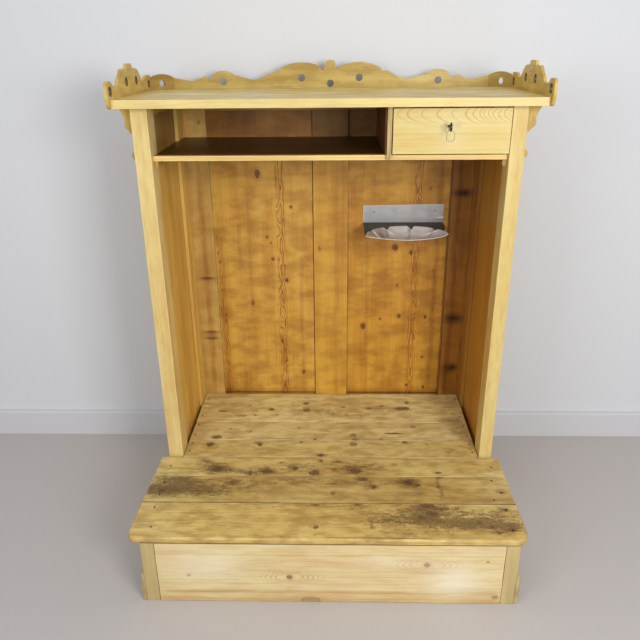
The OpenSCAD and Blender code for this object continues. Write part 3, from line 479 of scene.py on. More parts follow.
    # painted shade: on the boards of the bay under the top board, on the shelf behind its front edge and at the foot of
    # the back, these tones darken the wood where shade falls
    if zgrad is not None:  # (axis, from, to, colour, amount): a tone that grows towards one side
        for (ax_, g0, g1, gc, ga) in zgrad:
            gn = t.noise(t.v("ADD", t.v("SCALE", P, scale=0.012), (s, 4.0, 2.0)), 1.0, 3.0, 0.6)
            ff = t.smooth(t.mad(t.sub(gn, 0.5), (g1 - g0) * 0.35, c[AX[ax_]]), g0, g1)
            col = t.mixc(t.mul(t.mul(ff, ga), fi), col, lin(gc), "MULTIPLY")
    # holes: small dark pits (L, A, radius)
    for (hl, ha, hr) in holes:
        dh = t.v("DISTANCE", LAw, (hl, ha, 0.0))
        col = t.mixc(t.smooth(dh, hr * 1.2, hr * 0.75), col, lin((40, 26, 14)))
    # dark joints along a board's edges (axis, position, half width, strength)
    for (sx, sp, sw, ss) in seams:
        nj = t.noise(t.comb(t.mul(L, 1 / 30.0), sp, s), 1.0, 2.0)
        nk = t.noise(t.comb(t.mul(L, 1 / 110.0), sp, s + 3.0), 1.0, 1.0)
        dj = t.m("ABSOLUTE", t.sub(c[AX[sx]], sp))
        col = t.mixc(t.mul(t.mul(t.smooth(dj, t.mad(nj, sw * 1.1, sw * 0.5), sw * 0.2), ss), 1.0 if ss > 0.6 else t.smooth(nk, 0.36, 0.56)), col, lin((62, 40, 18)))
    if extra is not None:
        col = extra(t, c, col)
    if name in BOARD_TONE_AND_SHADE_GAIN:
        col = t.v("MULTIPLY", col, BOARD_TONE_AND_SHADE_GAIN[name])
    t.put(bs.inputs["Base Color"], col)
    rg = t.mad(t.sub(n1, 0.5), 0.22, rough)
    if sf is not None:
        rg = t.mad(sf, 0.12, rg)
    t.put(bs.inputs["Roughness"], rg)
    bs.inputs["Coat Weight"].default_value = coat
    bs.inputs["Coat Roughness"].default_value = 0.32
    bs.inputs["IOR"].default_value = 1.47
    h = t.mad(late_m, 0.35, t.mul(nf, 0.45))
    if knots:
        h = t.mad(mask, 0.3, h)
    h = t.mad(t.noise(t.comb(t.mul(L, 1 / 60.0), t.mul(A, 1 / 25.0), t.mul(B, 1 / 25.0)), 1.0, 2.0), 1.6, h)
    bp = t.n("ShaderNodeBump")
    bp.inputs["Strength"].default_value = bump
    bp.inputs["Distance"].default_value = 0.0009
    t.put(bp.inputs["Height"], h)
    t.t.links.new(bp.outputs[0], bs.inputs["Normal"])
    return mat


def metal(name, base, rough, metallic=1.0, scratch=0.5, spots=(60, 50, 40), spots_f=0.3, axis="x", bump=0.2, tint=None):
    mat = bpy.data.materials.new(name)
    mat.use_nodes = True
    t = T(mat.node_tree)
    t.t.nodes.clear()
    out = t.n("ShaderNodeOutputMaterial")
    bs = t.n("ShaderNodeBsdfPrincipled")
    t.t.links.new(bs.outputs[0], out.inputs[0])
    co = t.n("ShaderNodeTexCoord").outputs["Object"]
    P = t.v("SCALE", co, scale=1000.0)
    c = list(t.sep(P))
    st = [t.mul(c[k], 1.6) for k in range(3)]
    st[AX[axis]] = t.mul(c[AX[axis]], 0.035)
    n1 = t.noise(t.comb(*st), 1.0, 3.0, 0.6)
    n2 = t.noise(t.v("SCALE", P, scale=0.03), 1.0, 3.0, 0.6)
    n3 = t.noise(t.v("SCALE", P, scale=0.16), 1.0, 3.0, 0.65)
    col = t.mixc(t.smooth(n2, 0.3, 0.75, 0.0, 0.35), lin(base), lin([v * 0.72 for v in base]))
    col = t.mixc(t.mul(t.sub(n1, 0.5), scratch * 0.6), col, lin([min(255, v * 1.25) for v in base]))
    col = t.mixc(t.smooth(n3, 0.56, 0.74, 0.0, spots_f), col, lin(spots))
    t.put(bs.inputs["Base Color"], col)
    bs.inputs["Metallic"].default_value = metallic
    t.put(bs.inputs["Roughness"], t.mad(t.sub(n3, 0.5), 0.25, t.mad(t.sub(n1, 0.5), scratch * 0.3, rough)))
    bp = t.n("ShaderNodeBump")
    bp.inputs["Strength"].default_value = bump
    bp.inputs["Distance"].default_value = 0.0005
    t.put(bp.inputs["Height"], t.add(n1, t.mul(n3, 1.5)))
    t.t.links.new(bp.outputs[0], bs.inputs["Normal"])
    return mat


# ------------------------------------------------------------------ geometry helper
def node_box(node):
    lo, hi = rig.box(node)
    return ((lo.x * 1000, lo.y * 1000 + YM, lo.z * 1000), (hi.x * 1000, hi.y * 1000 + YM, hi.z * 1000))


def inner_y(node):
    lo, hi = node_box(node)
    return ("y", (lo[1] + hi[1]) / 2, (lo[1] + hi[1]) / 2 - 1.0)


def inner_x(node):
    lo, hi = node_box(node)
    return ("x", (lo[0] + hi[0]) / 2, (lo[0] + hi[0]) / 2 + 1.0)


def set_mat(ob, mat):
    ob.data.materials.clear()
    ob.data.materials.append(mat)


def aged(node, bevel=1.2, step=(25.0, 25.0, 25.0), wear=0.9, wave=0.35, seed=1.0, min_edge=7.0, fn=None, segs=2, angle=25.0, grid=True, part=None, smooth=True):
    """A worn copy of a CAD board: softened arrises, slightly uneven faces, all of it inside the board's own volume.
    It replaces the CAD node."""
    src = NODES[node]
    me = src.data.copy()
    me.name = node + "_worn"
    ob = bpy.data.objects.new(node + "_worn", me)
    scene.collection.objects.link(ob)
    bm = bmesh.new()
    bm.from_mesh(me)
    bmesh.ops.remove_doubles(bm, verts=bm.verts[:], dist=2e-6)
    bmesh.ops.dissolve_limit(bm, angle_limit=math.radians(0.6), verts=bm.verts[:], edges=bm.edges[:])
    sharp = []
    for e in bm.edges:
        if len(e.link_faces) == 2 and e.calc_length() > min_edge / 1000.0:
            if abs(e.calc_face_angle(0.0)) > math.radians(angle) and e.is_convex:
                sharp.append(e)
    if sharp and bevel > 0:
        bmesh.ops.bevel(bm, geom=sharp, offset=bevel / 1000.0, offset_type="OFFSET", segments=segs, profile=0.6, affect="EDGES", clamp_overlap=True)
    xs = [v.co.copy() for v in bm.verts]
    lo = Vector((min(v.x for v in xs), min(v.y for v in xs), min(v.z for v in xs)))
    hi = Vector((max(v.x for v in xs), max(v.y for v in xs), max(v.z for v in xs)))
    if grid:
        for ax in range(3):
            st = step[ax] / 1000.0
            span = hi[ax] - lo[ax]
            if span < st * 1.5:
                continue
            k = int(round(span / st))
            for i in range(1, k):
                p = Vector((0, 0, 0))
                p[ax] = lo[ax] + span * i / k
                nrm = Vector((0, 0, 0))
                nrm[ax] = 1.0
                bmesh.ops.bisect_plane(bm, geom=bm.verts[:] + bm.edges[:] + bm.faces[:], dist=1e-6, plane_co=p, plane_no=nrm)
    bm.normal_update()
    moves = []
    for v in bm.verts:
        d = sorted(min(v.co[i] - lo[i], hi[i] - v.co[i]) for i in range(3))
        e = math.exp(-max(d[1], 0.0) / 0.0035)
        q = v.co * 22.0 + Vector((seed * 3.1, -seed, seed * 1.7))
        q2 = v.co * 70.0 + Vector((-seed, seed * 2.0, seed))
        n1 = mn.noise(q)
        n2 = mn.noise(q2)
        amt = wave * (0.5 + 0.5 * mn.noise(v.co * 6.0 + Vector((seed, seed, 0)))) + wear * e * max(0.0, 0.35 + n1 * 0.9 + n2 * 0.5)
        mv = -v.normal * (amt / 1000.0)
        if fn is not None:
            mv = mv + fn(v.co * 1000.0 + Vector((0, YM, 0)), v.normal) / 1000.0
        moves.append(mv)
    for v, mv in zip(bm.verts, moves):
        v.co += mv
    for f in bm.faces:
        f.smooth = True
    bmesh.ops.triangulate(bm, faces=[f for f in bm.faces if len(f.verts) > 4])
    bm.to_mesh(me)
    bm.free()
    me.attributes.new("sharp_edge", "BOOLEAN", "EDGE") if "sharp_edge" not in me.attributes else None
    ob.parent = None
    body = [o for o in (src.get("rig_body"),)][0]
    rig.ride(ob, body)
    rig.replaces(ob, node)
    sl = [q["material_slot"] for q in frame["record"]["subparts"] if q["node"] == node]
    if sl:
        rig.slot(ob, sl[0])
    wn = ob.modifiers.new("weighted", "WEIGHTED_NORMAL")
    wn.keep_sharp = False
    return ob


# ------------------------------------------------------------------ stage, light and camera
def stage():
    me = bpy.data.meshes.new("floor")
    s = 7.0
    yw = (575.0 - YM) / 1000.0
    me.from_pydata([(-s, -s, 0), (s, -s, 0), (s, yw, 0), (-s, yw, 0)], [], [(0, 1, 2, 3)])
    fl = bpy.data.objects.new("floor", me)
    scene.collection.objects.link(fl)
    me2 = bpy.data.meshes.new("wall")
    me2.from_pydata([(-s, yw, 0), (s, yw, 0), (s, yw, 4.0), (-s, yw, 4.0)], [], [(0, 1, 2, 3)])
    wl = bpy.data.objects.new("wall", me2)
    scene.collection.objects.link(wl)
    y0 = (548.0 - YM) / 1000.0
    me3 = bpy.data.meshes.new("skirting")
    me3.from_pydata([(-s, y0, 0), (s, y0, 0), (s, y0, 0.114), (-s, y0, 0.114), (s, y0 + 0.006, 0.119), (-s, y0 + 0.006, 0.119), (s, yw, 0.119), (-s, yw, 0.119)], [], [(0, 1, 2, 3), (3, 2, 4, 5), (5, 4, 6, 7)])
    sk = bpy.data.objects.new("skirting", me3)
    scene.collection.objects.link(sk)
    for ob, c, r in ((fl, (193, 187, 184), 0.55), (wl, (222, 224, 228), 0.9), (sk, (214, 214, 218), 0.5)):
        m = bpy.data.materials.new(ob.name)
        m.use_nodes = True
        b = m.node_tree.nodes["Principled BSDF"]
        b.inputs["Base Color"].default_value = lin(c)
        b.inputs["Roughness"].default_value = r
        ob.data.materials.append(m)
    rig.stage(fl, wl, sk)
    return wl, sk


def area(name, loc, target, size, power, color=(1, 1, 1), size_y=None):
    l = bpy.data.lights.new(name, "AREA")
    l.energy = power
    l.color = color
    l.size = size
    if size_y:
        l.shape = "RECTANGLE"
        l.size_y = size_y
    o = bpy.data.objects.new(name, l)
    scene.collection.objects.link(o)
    o.location = loc
    o.rotation_euler = (Vector(target) - Vector(loc)).to_track_quat("-Z", "Y").to_euler()
    return o


def lights():
    w = bpy.data.worlds.new("world")
    scene.world = w
    w.use_nodes = True
    w.node_tree.nodes["Background"].inputs[0].default_value = (0.93, 0.96, 1.0, 1)
    w.node_tree.nodes["Background"].inputs[1].default_value = 0.45
    area("key", (1.35, -2.7, 1.95), (0.0, 0.1, 1.1), 1.1, 56, (1.0, 0.985, 0.95))
    area("fill", (-1.9, -2.7, 2.0), (0.0, 0.1, 0.8), 1.4, 24, (0.97, 0.98, 1.0))
    area("top", (0.0, -1.2, 3.6), (0.0, -0.2, 0.3), 2.4, 14, (1.0, 1.0, 1.0))


def camera():
    cam = bpy.data.cameras.new("camera")
    cam.sensor_width = 36.0
    cam.lens = 651.94 * 36.0 / 640.0
    cam.clip_start = 0.05
    cam.clip_end = 60.0
    o = bpy.data.objects.new("camera", cam)
    scene.collection.objects.link(o)
    ya, pa, ra = (math.radians(v) for v in (-1.4547, -22.8400, -0.5341))
    f = Vector((math.sin(ya) * math.cos(pa), math.cos(ya) * math.cos(pa), math.sin(pa)))
    rt = Vector((math.cos(ya), -math.sin(ya), 0.0))
    up = rt.cross(f)
    rt2 = rt * math.cos(ra) + up * math.sin(ra)
    up2 = -rt * math.sin(ra) + up * math.cos(ra)
    m = Matrix((rt2, up2, -f)).transposed().to_4x4()
    m.translation = W(20.379, -2059.89, 1683.291)
    o.matrix_world = m
    cam.shift_x = (320.0 - 320.423) / 640.0
    cam.shift_y = (320.064 - 320.0) / 640.0
    scene.camera = o


def hide_from_behind(obs, cam):
    """the wall and its skirting aren't shown to a camera that stands behind them (twice its Y above 1 m)"""
    for ob in obs:
        d = ob.driver_add("hide_render").driver
        d.type = "SUM"
        for k in range(2):
            v = d.variables.new()
            v.name = "y%d" % k
            v.type = "TRANSFORMS"
            v.targets[0].id = cam
            v.targets[0].transform_type = "LOC_Y"
            v.targets[0].transform_space = "WORLD_SPACE"


backdrop = stage()
lights()
camera()
hide_from_behind(backdrop, scene.camera)
scene.view_settings.view_transform = "Standard"
scene.view_settings.look = "None"
scene.view_settings.exposure = 0.0

# ------------------------------------------------------------------ wood of each board
OCHRE = dict(early=(214, 170, 84), late=(158, 98, 34))
BACK = dict(early=(208, 156, 72), late=(150, 90, 30), tone=(214, 178, 130), tone_f=0.5, light=(222, 176, 92), light_f=0.25)
PALE = dict(early=(238, 214, 146), late=(206, 160, 84), tone=(226, 190, 130), tone_f=0.35, light=(250, 236, 184), light_f=0.35)
FLOORC = dict(early=(206, 176, 104), late=(164, 124, 58), tone=(196, 160, 96), tone_f=0.5, light=(222, 198, 128), light_f=0.3)

made = {}


def do(node, mat, **kw):
    ob = aged(node, **kw)
    set_mat(ob, mat)
    made[node] = ob
    return ob


def simple():
    """every CAD node that isn't replaced gets a weld modifier that merges its split vertices"""
    for n, o in NODES.items():
        if n in made:
            continue
        w = o.modifiers.new("weld", "WELD")
        w.merge_threshold = 2e-6


# top board: grain across, seen from above it is greyed by dust, its front edge is pale
def pale_front(t, c, col):
    return t.mixc(t.mul(t.smooth(c[1], -34.0, -37.0), 0.6), col, lin((218, 190, 136)))


do("top_board", wood("top_board", "x", "z", 1, node_box("top_board"), pith=(230, 1400), slope=(0.02, 0.03), ring=5.2, wob=(14, 10), **{**FLOORC, "early": (216, 190, 124), "late": (176, 140, 74)},
                     dirt=0.35, mottle=0.5, mottle_col=(182, 162, 124), mottle_len=(110.0, 40.0), knots=[(-210, 60, 9, 0.7, 2.0), (120, 250, 8, 0.5, 2.2), (420, 120, 7, 0.5, 1.6)], edge_f=0.3, rough=0.42, coat=0.15, extra=pale_front),
   bevel=1.8, step=(26, 26, 30), wear=1.2, seed=1)

def dark_holes(t, c, col):
    for (hy, hz, hr) in ((-26, 1562, 14), (147, 1581, 13.5), (258, 1581, 13.5), (410, 1562, 13)):
        d = t.m("SQRT", t.add(t.m("POWER", t.m("ABSOLUTE", t.sub(c[1], hy)), 2.0), t.m("POWER", t.m("ABSOLUTE", t.sub(c[2], hz)), 2.0)))
        col = t.mixc(t.mul(t.smooth(d, hr + 1.6, hr + 0.3), 0.85), col, lin((44, 28, 12)))
    return col


gal = dict(mottle=0.4, mottle_col=(186, 160, 118), mottle_len=(70.0, 26.0), dirt=0.3, ring=4.0, early=(206, 166, 86), late=(168, 118, 50), tone=(196, 150, 84), tone_f=0.5, light=(226, 192, 118), light_f=0.3, edge_f=0.12, edge=(226, 190, 110))
do("gallery_back", wood("gallery_back", "x", "y", 2, node_box("gallery_back"), pith=(1480, 470), wob=(10, 8), **gal), bevel=0.9, grid=False, wear=0.0, wave=0.0, min_edge=0.5, angle=40)
for s, nm in ((-1, "left"), (1, "right")):
    do("gallery_corner_" + nm, wood("gallery_corner_" + nm, "x", "y", 3 + s, None, pith=(1500, 470), wob=(6, 6), rot=(45 * s, (s * 620, 470, 1540)), **gal), bevel=0.9, grid=False, wear=0.0, wave=0.0, min_edge=0.5, angle=40)
    do("gallery_side_" + nm, wood("gallery_side_" + nm, "y", "x", 5 + s, None, pith=(1480, s * 690), wob=(8, 8), extra=dark_holes, **gal), bevel=0.9, grid=False, wear=0.0, wave=0.0, min_edge=0.5, angle=40)
do("scroll_brackets", wood("scroll_brackets", "z", "y", 8, None, pith=(600, 20), **gal), bevel=0.9, grid=False, wear=0.0, wave=0.0, min_edge=0.5, angle=40)

for s, nm in ((-1, "left"), (1, "right")):
    do("front_post_" + nm, wood("front_post_" + nm, "z", "y", 10 + s, node_box("front_post_" + nm), pith=(s * 640, 60), slope=(0.006, 0.0), ring=3.6, wob=(5, 5), **PALE,
                                edge_f=0.35, coat=0.15, mottle=0.22, mottle_col=(214, 186, 140), mottle_len=(70.0, 16.0)),
       bevel=1.6, step=(14, 20, 22), wear=1.4, seed=10 + s)

for s, nm in ((-1, "left"), (1, "right")):
    side = dict(BACK)
    do("rear_stile_" + nm, wood("rear_stile_" + nm, "z", "x", 20 + s, node_box("rear_stile_" + nm), pith=(430, s * 640), ring=4.0, **side, edge_f=0.08), bevel=1.0, step=(20, 22, 40), wear=0.6, seed=20 + s)
    # painted shade: on the left panel the zgrad tone darkens the inner face in the bay under the top board
    do("side_panel_" + nm, wood("side_panel_" + nm, "z", "x", 24 + s, node_box("side_panel_" + nm), pith=(200, s * 640), ring=4.6, slope=(0.03, 0.02), mid=800, wob=(12, 10), **side, edge_f=0.0, zgrad=[("z", 1345, 1375, (150, 132, 118), 0.8)] if s < 0 else None, inner=inner_x("side_panel_left") if s < 0 else None), bevel=0.6, step=(30, 30, 60), wear=0.2, seed=24 + s)
do("side_top_rails", wood("side_top_rails", "y", "x", 27, None, **BACK), bevel=0.8, grid=False, wear=0.0, wave=0.2)
do("side_bottom_rails", wood("side_bottom_rails", "y", "x", 28, None, **BACK), bevel=0.8, grid=False, wear=0.0, wave=0.2)

bs_kn = {"left": [(907, -447, 5, 0.9)], "right": [(1150, 522, 9, 0.5), (394, 529, 10, 0.6)]}
do("back_stile_left", wood("back_stile_left", "z", "y", 30, node_box("back_stile_left"), pith=(-456, 500), ring=4.5, slope=(0.0, 0.0), wob=(8, 18), **BACK, inner=inner_y("back_stile_left"), knots=bs_kn["left"], edge_f=0.05, seams=[("x", -470, 1.6, 0.4), ("x", -552, 2.0, 0.25)], bands=[(250, 1300, -512, 16, 0.35, (196, 148, 100))], mottle=0.35, zgrad=[("z", 1345, 1375, (292, 290, 296), 1.0)], spots=[(1421, -496, 7, 6, 0.7, (84, 44, 16)), (797, -510, 9, 28, 0.75, (146, 92, 42)), (543, -510, 17, 28, 0.7, (140, 86, 40)), (801, -510, 6.5, 30, 1.0, (92, 50, 16)), (559, -510, 6.5, 30, 1.0, (88, 48, 16)), (529, -510, 5.5, 30, 1.0, (96, 52, 18)), (542, -512, 14, 26, 0.3, (150, 104, 52))], flames=[(300, 1200, -512, 16, 0.25, (196, 140, 84))]), bevel=1.2, step=(20, 30, 40), wear=0.6, seed=30)
# painted shade: the back_stile_right takes darker early and late wood than the other back boards, as the right inner
# side lies in shade
do("back_stile_right", wood("back_stile_right", "z", "y", 31, node_box("back_stile_right"), pith=(560, 520), ring=4.0, **{**BACK, "early": (170, 118, 52), "late": (118, 68, 24)}, inner=inner_y("back_stile_right"), knots=bs_kn["right"], edge_f=0.0, bands=[(200, 1400, 500, 14, 0.5, (170, 120, 84))], seams=[("x", 471, 2.2, 0.8), ("x", 552, 3.0, 0.5)], mottle=0.35, spots=[(1150, 514, 16, 38, 0.98, (42, 22, 8)), (622, 512, 22, 44, 0.95, (46, 24, 8)), (392, 516, 22, 36, 0.92, (48, 26, 10)), (900, 530, 60, 12, 0.3, (92, 56, 22))], flames=[(260, 1300, 505, 14, 0.4, (180, 128, 80))]), bevel=1.2, step=(20, 30, 40), wear=0.6, seed=31)
# painted shade: the zgrad tones darken the stile in the bay under the top board and in the band just above the inner
# floor
do("back_stile_centre", wood("back_stile_centre", "z", "y", 32, node_box("back_stile_centre"), pith=(-190, 575), ring=3.6, wob=(5, 5), warp=1.4, **BACK, inner=inner_y("back_stile_centre"), knots=[(928, -45, 6, 0.6, 1.8)], edge_f=0.08, bands=[(210, 1400, 20, 16, 0.3, (200, 150, 104))], mottle=0.35, zgrad=[("z", 1335, 1375, (150, 128, 110), 0.7), ("z", 270, 240, (170, 140, 110), 0.6)]), bevel=1.2, step=(22, 30, 40), wear=0.6, seed=32)
# painted shade: the zgrad tones darken the panel in the bay under the top board and in the band just above the inner
# floor
do("back_panel_left", wood("back_panel_left", "z", "y", 33, None, pith=(-196, 512), slope=(0.012, 0.0), mid=780, ring=4.4, wob=(5, 14), wob_len=240, warp=0.5, **BACK, inner=inner_y("back_panel_left"), contrast=0.8,
                           bands=[(230, 1400, -200, 30, 0.25, (200, 150, 104)), (230, 1100, -454, 14, 0.2, (200, 150, 104)), (600, 1460, -330, 12, 0.25, (200, 150, 100)), (200, 900, -120, 12, 0.3, (196, 148, 100))],
                           flames=[(240, 1340, -200, 22, 0.8, (176, 110, 54)), (240, 1000, -450, 16, 0.75, (176, 110, 54))], mottle=0.5,
                           seams=[("x", -69, 3.2, 0.85), ("x", -468, 1.2, 0.25), ("z", 263, 3.5, 0.8), ("z", 1461, 4.0, 0.6)], zgrad=[("z", 1335, 1375, (180, 146, 122), 0.8), ("z", 300, 262, (190, 160, 128), 0.6)],
                           ragged=1.3, halo_f=0.6, knot_col=(58, 28, 8), knots=[(q[0], q[1], q[2] * 1.2, min(1.0, q[3] * 1.2)) + tuple(q[4:]) for q in [(1225, -285, 9, 0.8, 1.5), (1095, -157, 4.5, 0.8), (974, -257, 4.5, 0.9), (948, -241, 3, 0.7), (881, -236, 5, 0.9), (788, -181, 6, 0.85), (688, -327, 6, 0.6, 1.8), (365, -119, 7, 0.7, 1.3)]]),
   bevel=0.6, step=(30, 30, 50), wear=0.0, wave=0.6, seed=33)
# painted shade: the zgrad tones darken the panel in the bay under the top board and in the band just above the inner
# floor
do("back_panel_right", wood("back_panel_right", "z", "y", 34, None, pith=(345, 509), slope=(-0.004, 0.0), mid=780, ring=4.4, wob=(5, 12), wob_len=200, warp=0.5, **BACK, inner=inner_y("back_panel_right"), contrast=0.8,
                            bands=[(230, 1460, 345, 26, 0.25, (200, 150, 104)), (300, 1300, 428, 16, 0.45, (190, 144, 96)), (230, 1000, 150, 10, 0.25, (200, 150, 100))],
                            seams=[("x", 466.5, 2.4, 0.85), ("x", 69, 2.0, 0.4), ("z", 263, 3.5, 0.8), ("z", 1461, 4.0, 0.6)], zgrad=[("z", 300, 262, (190, 160, 128), 0.6), ("z", 1335, 1375, (150, 128, 110), 0.7)],
                            flames=[(240, 1340, 345, 21, 0.8, (176, 110, 54)), (250, 1300, 425, 12, 0.4, (184, 124, 70))], mottle=0.5,
                            ragged=1.3, halo_f=0.6, knot_col=(58, 28, 8), knots=[(q[0], q[1], q[2] * 1.2, min(1.0, q[3] * 1.2)) + tuple(q[4:]) for q in [(929, 260, 10, 0.85), (907, 325, 6, 0.85, 1.6), (1168, 391, 5, 0.5), (768, 274, 5, 0.5), (629, 287, 6, 0.9), (625, 397, 5, 0.95), (617, 208, 4, 0.7), (583, 136, 9, 0.9), (437, 394, 4, 0.8), (300, 331, 5, 0.9), (290, 406, 5, 0.8)]]),
   bevel=0.6, step=(30, 30, 50), wear=0.0, wave=0.6, seed=34)
do("back_top_rail", wood("back_top_rail", "x", "y", 35, None, pith=(1400, 540), **BACK, knots=[(-496, 1421, 4, 0.8)]), bevel=0.8, grid=False, wear=0.0, wave=0.2)
# painted shade: the zgrad tone darkens the rail towards the floor
do("back_bottom_rail", wood("back_bottom_rail", "x", "y", 36, None, pith=(120, 560), **BACK, seams=[("z", 200, 4.0, 0.8)], zgrad=[("z", 300, 262, (150, 120, 90), 0.7)]), bevel=1.0, grid=False, wear=0.0, wave=0.2)

shelf_c = dict(early=(206, 168, 92), late=(168, 118, 52), tone=(190, 140, 80), tone_f=0.4)
def pale_edge(t, c, col):
    return t.mixc(t.mul(t.smooth(c[1], 18.0, 14.0), 0.5), col, lin((204, 174, 116)))


# painted shade: the zgrad tone darkens the shelf top behind its front edge, under the top board
do("shelf", wood("shelf", "x", "z", 40, node_box("shelf"), pith=(240, 1290), ring=5.0, **shelf_c, edge_f=0.3, extra=pale_edge, zgrad=[("y", 20, 46, (88, 66, 44), 1.0)]), bevel=1.4, step=(28, 30, 20), wear=0.9, seed=40)
do("shelf_cleats", wood("shelf_cleats", "y", "x", 41, None, **shelf_c), bevel=0.6, grid=False, wear=0.0, wave=0.1, min_edge=0.5, angle=40)
# painted shade: the divider panel, standing in the bay, takes darker early wood and a low colour factor
do("divider_panel", wood("divider_panel", "y", "x", 42, node_box("divider_panel"), pith=(1420, 240), **{**BACK, "early": (176, 120, 62)}), bevel=0.8, grid=False, wear=0.0, wave=0.1)
do("divider_strip", wood("divider_strip", "z", "y", 43, None, pith=(190, 40), ring=3.0, early=(186, 156, 104), late=(148, 112, 64), tone=(170, 150, 120), tone_f=0.5), bevel=0.8, step=(20, 20, 20), wear=0.8, seed=43, min_edge=0.5, angle=40)
for k, n in enumerate(("drawer_guide", "drawer_kickers", "drawer_stop")):
    do(n, wood(n, "y", "x", 44 + k, None, **shelf_c), bevel=0.8, grid=False, wear=0.0, wave=0.1)

# drawer
def drawer_lines(t, c, col):
    """dark late-wood curves that open to the right along the upper half, faint straight stripes below on the left"""
    wz = t.mul(t.sub(t.noise(t.comb(t.mul(c[0], 1 / 30.0), t.mul(c[2], 1 / 26.0), 4.0), 1.0, 2.0), 0.5), 12.0)
    dz = t.sub(c[2], 1490.0)
    k = t.smooth(c[0], 240.0, 470.0, 0.068, 0.044)
    ph = t.add(t.sub(c[0], t.mul(t.mul(dz, dz), k)), wz)
    acc = 0.0
    for (tip, w, st) in ((208, 3.2, 0.7), (236, 3.6, 0.9), (281, 3.0, 0.75), (326, 3.8, 1.0), (371, 2.6, 0.7), (412, 3.6, 1.0), (435, 2.6, 0.9), (455, 2.4, 0.9), (468, 2.0, 0.9), (481, 2.0, 0.9), (495, 2.0, 0.9), (510, 2.4, 0.8), (528, 2.8, 0.9), (544, 2.0, 0.5)):
        acc = t.m("MAXIMUM", acc, t.mul(t.smooth(t.m("ABSOLUTE", t.sub(ph, float(tip))), w * 1.5, 0.3), st))
    up = t.smooth(c[2], 1448.0, 1474.0)
    col = t.mixc(t.m("MULTIPLY", t.mul(acc, up), 0.62, clamp=True), col, lin((196, 150, 66)))
    st = t.noise(t.comb(t.mul(c[0], 1 / 120.0), t.mul(c[2], 1 / 2.3), 8.0), 1.0, 2.0, 0.6)
    lo = t.mul(t.mul(t.smooth(c[2], 1470.0, 1450.0), t.smooth(c[0], 370.0, 290.0, 0.25, 1.0)), t.smooth(st, 0.5, 0.68))
    return t.mixc(t.mul(lo, 0.4), col, lin((206, 164, 88)))


# painted highlight: the two near-white spots round the lock
do("drawer_front", wood("drawer_front", "x", "y", 50, node_box("drawer_front"), pith=(1120, -60), slope=(0.004, 0.0), ring=16.0, wob=(3, 2), wob_len=260, warp=0.35,
                        early=(243, 220, 148), late=(222, 184, 104), contrast=0.3, calm=(0.0, 0.3), tone=(240, 214, 160), tone_f=0.35, light=(252, 236, 180), light_f=0.3, extra=drawer_lines,
                        spots=[(345, 1453, 9, 7, 0.6, (176, 140, 84)), (392, 1458, 10, 9, 0.4, (190, 150, 92)), (365, 1456, 40, 26, 0.3, (255, 248, 214)), (375, 1410, 44, 30, 0.25, (255, 248, 220)), (240, 1400, 30, 10, 0.2, (222, 184, 116)), (500, 1440, 60, 16, 0.2, (226, 186, 100))],
                        seams=[("z", 1371, 1.6, 0.5), ("x", 195, 1.4, 0.6)], edge_f=0.2, edge_w=2.5, coat=0.22, rough=0.4),
   bevel=1.0, step=(22, 20, 22), wear=0.6, seed=50)
for k, n in enumerate(("drawer_side_left", "drawer_side_right")):
    do(n, wood(n, "y", "x", 51 + k, None, pith=(1330, 300), early=(226, 192, 120), late=(184, 134, 64)), bevel=0.6, grid=False, wear=0.0, wave=0.0)
do("drawer_back", wood("drawer_back", "x", "y", 53, None, pith=(1330, 400), early=(222, 188, 116), late=(184, 134, 64)), bevel=0.6, grid=False, wear=0.0, wave=0.0)
do("drawer_bottom", wood("drawer_bottom", "x", "z", 54, None, pith=(200, 1330), early=(218, 184, 114), late=(180, 130, 62)), bevel=0.4, grid=False, wear=0.0, wave=0.0)

# inner floor
FK = [(-455, 324, 6, 0.6, 2.6), (-374, 287, 6, 0.5, 3.0), (-251, 338, 7, 0.8), (-106, 390, 8, 0.75, 1.1), (-101, 335, 10, 0.75, 1.0), (-315, 292, 4, 0.6), (-224, 297, 4, 0.5), (-346, 371, 4, 0.5),
      (326, 402, 9, 0.7, 0.7), (314, 350, 10, 0.75, 1.4), (286, 350, 8, 0.7), (161, 349, 7, 0.5), (218, 371, 6, 0.6), (53, 361, 5, 0.5), (65, 299, 5, 0.5), (9, 307, 5, 0.5)]
FM = [(-450, 125, 9, 0.8, 1.6), (-126, 195, 4, 0.5), (-60, 114, 4, 0.9), (-404, 185, 4, 0.5), (-321, 167, 4, 0.6), (246, 157, 4, 0.9, 6.0), (91, 144, 8, 0.6), (333, 206, 7, 0.5), (386, 107, 4, 0.5), (466, 104, 4, 0.5), (198, 116, 4, 0.5), (98, 112, 8, 0.55)]
FF = [(-465, 75, 10, 0.85, 1.2), (-273, 76, 8, 0.9, 0.9), (89, 80, 9, 0.6), (289, 95, 6, 0.75), (-113, 92, 4, 0.7), (373, 82, 4, 0.4), (446, 28, 6, 0.4), (-35, 4, 7, 0.9), (531, 49, 3, 0.7)]
fl = dict(ring=5.0, wob=(10, 8), warp=2.2, dirt=0.6, rough=0.5, coat=0.08, bump=0.5, contrast=0.6, ragged=1.7, mottle=0.5, mottle_col=(178, 148, 110), mottle_len=(64.0, 30.0), stain_col=(102, 74, 42), stain_n=(2.6, 1.7), halo_f=0.15, knot_col=(66, 46, 30))
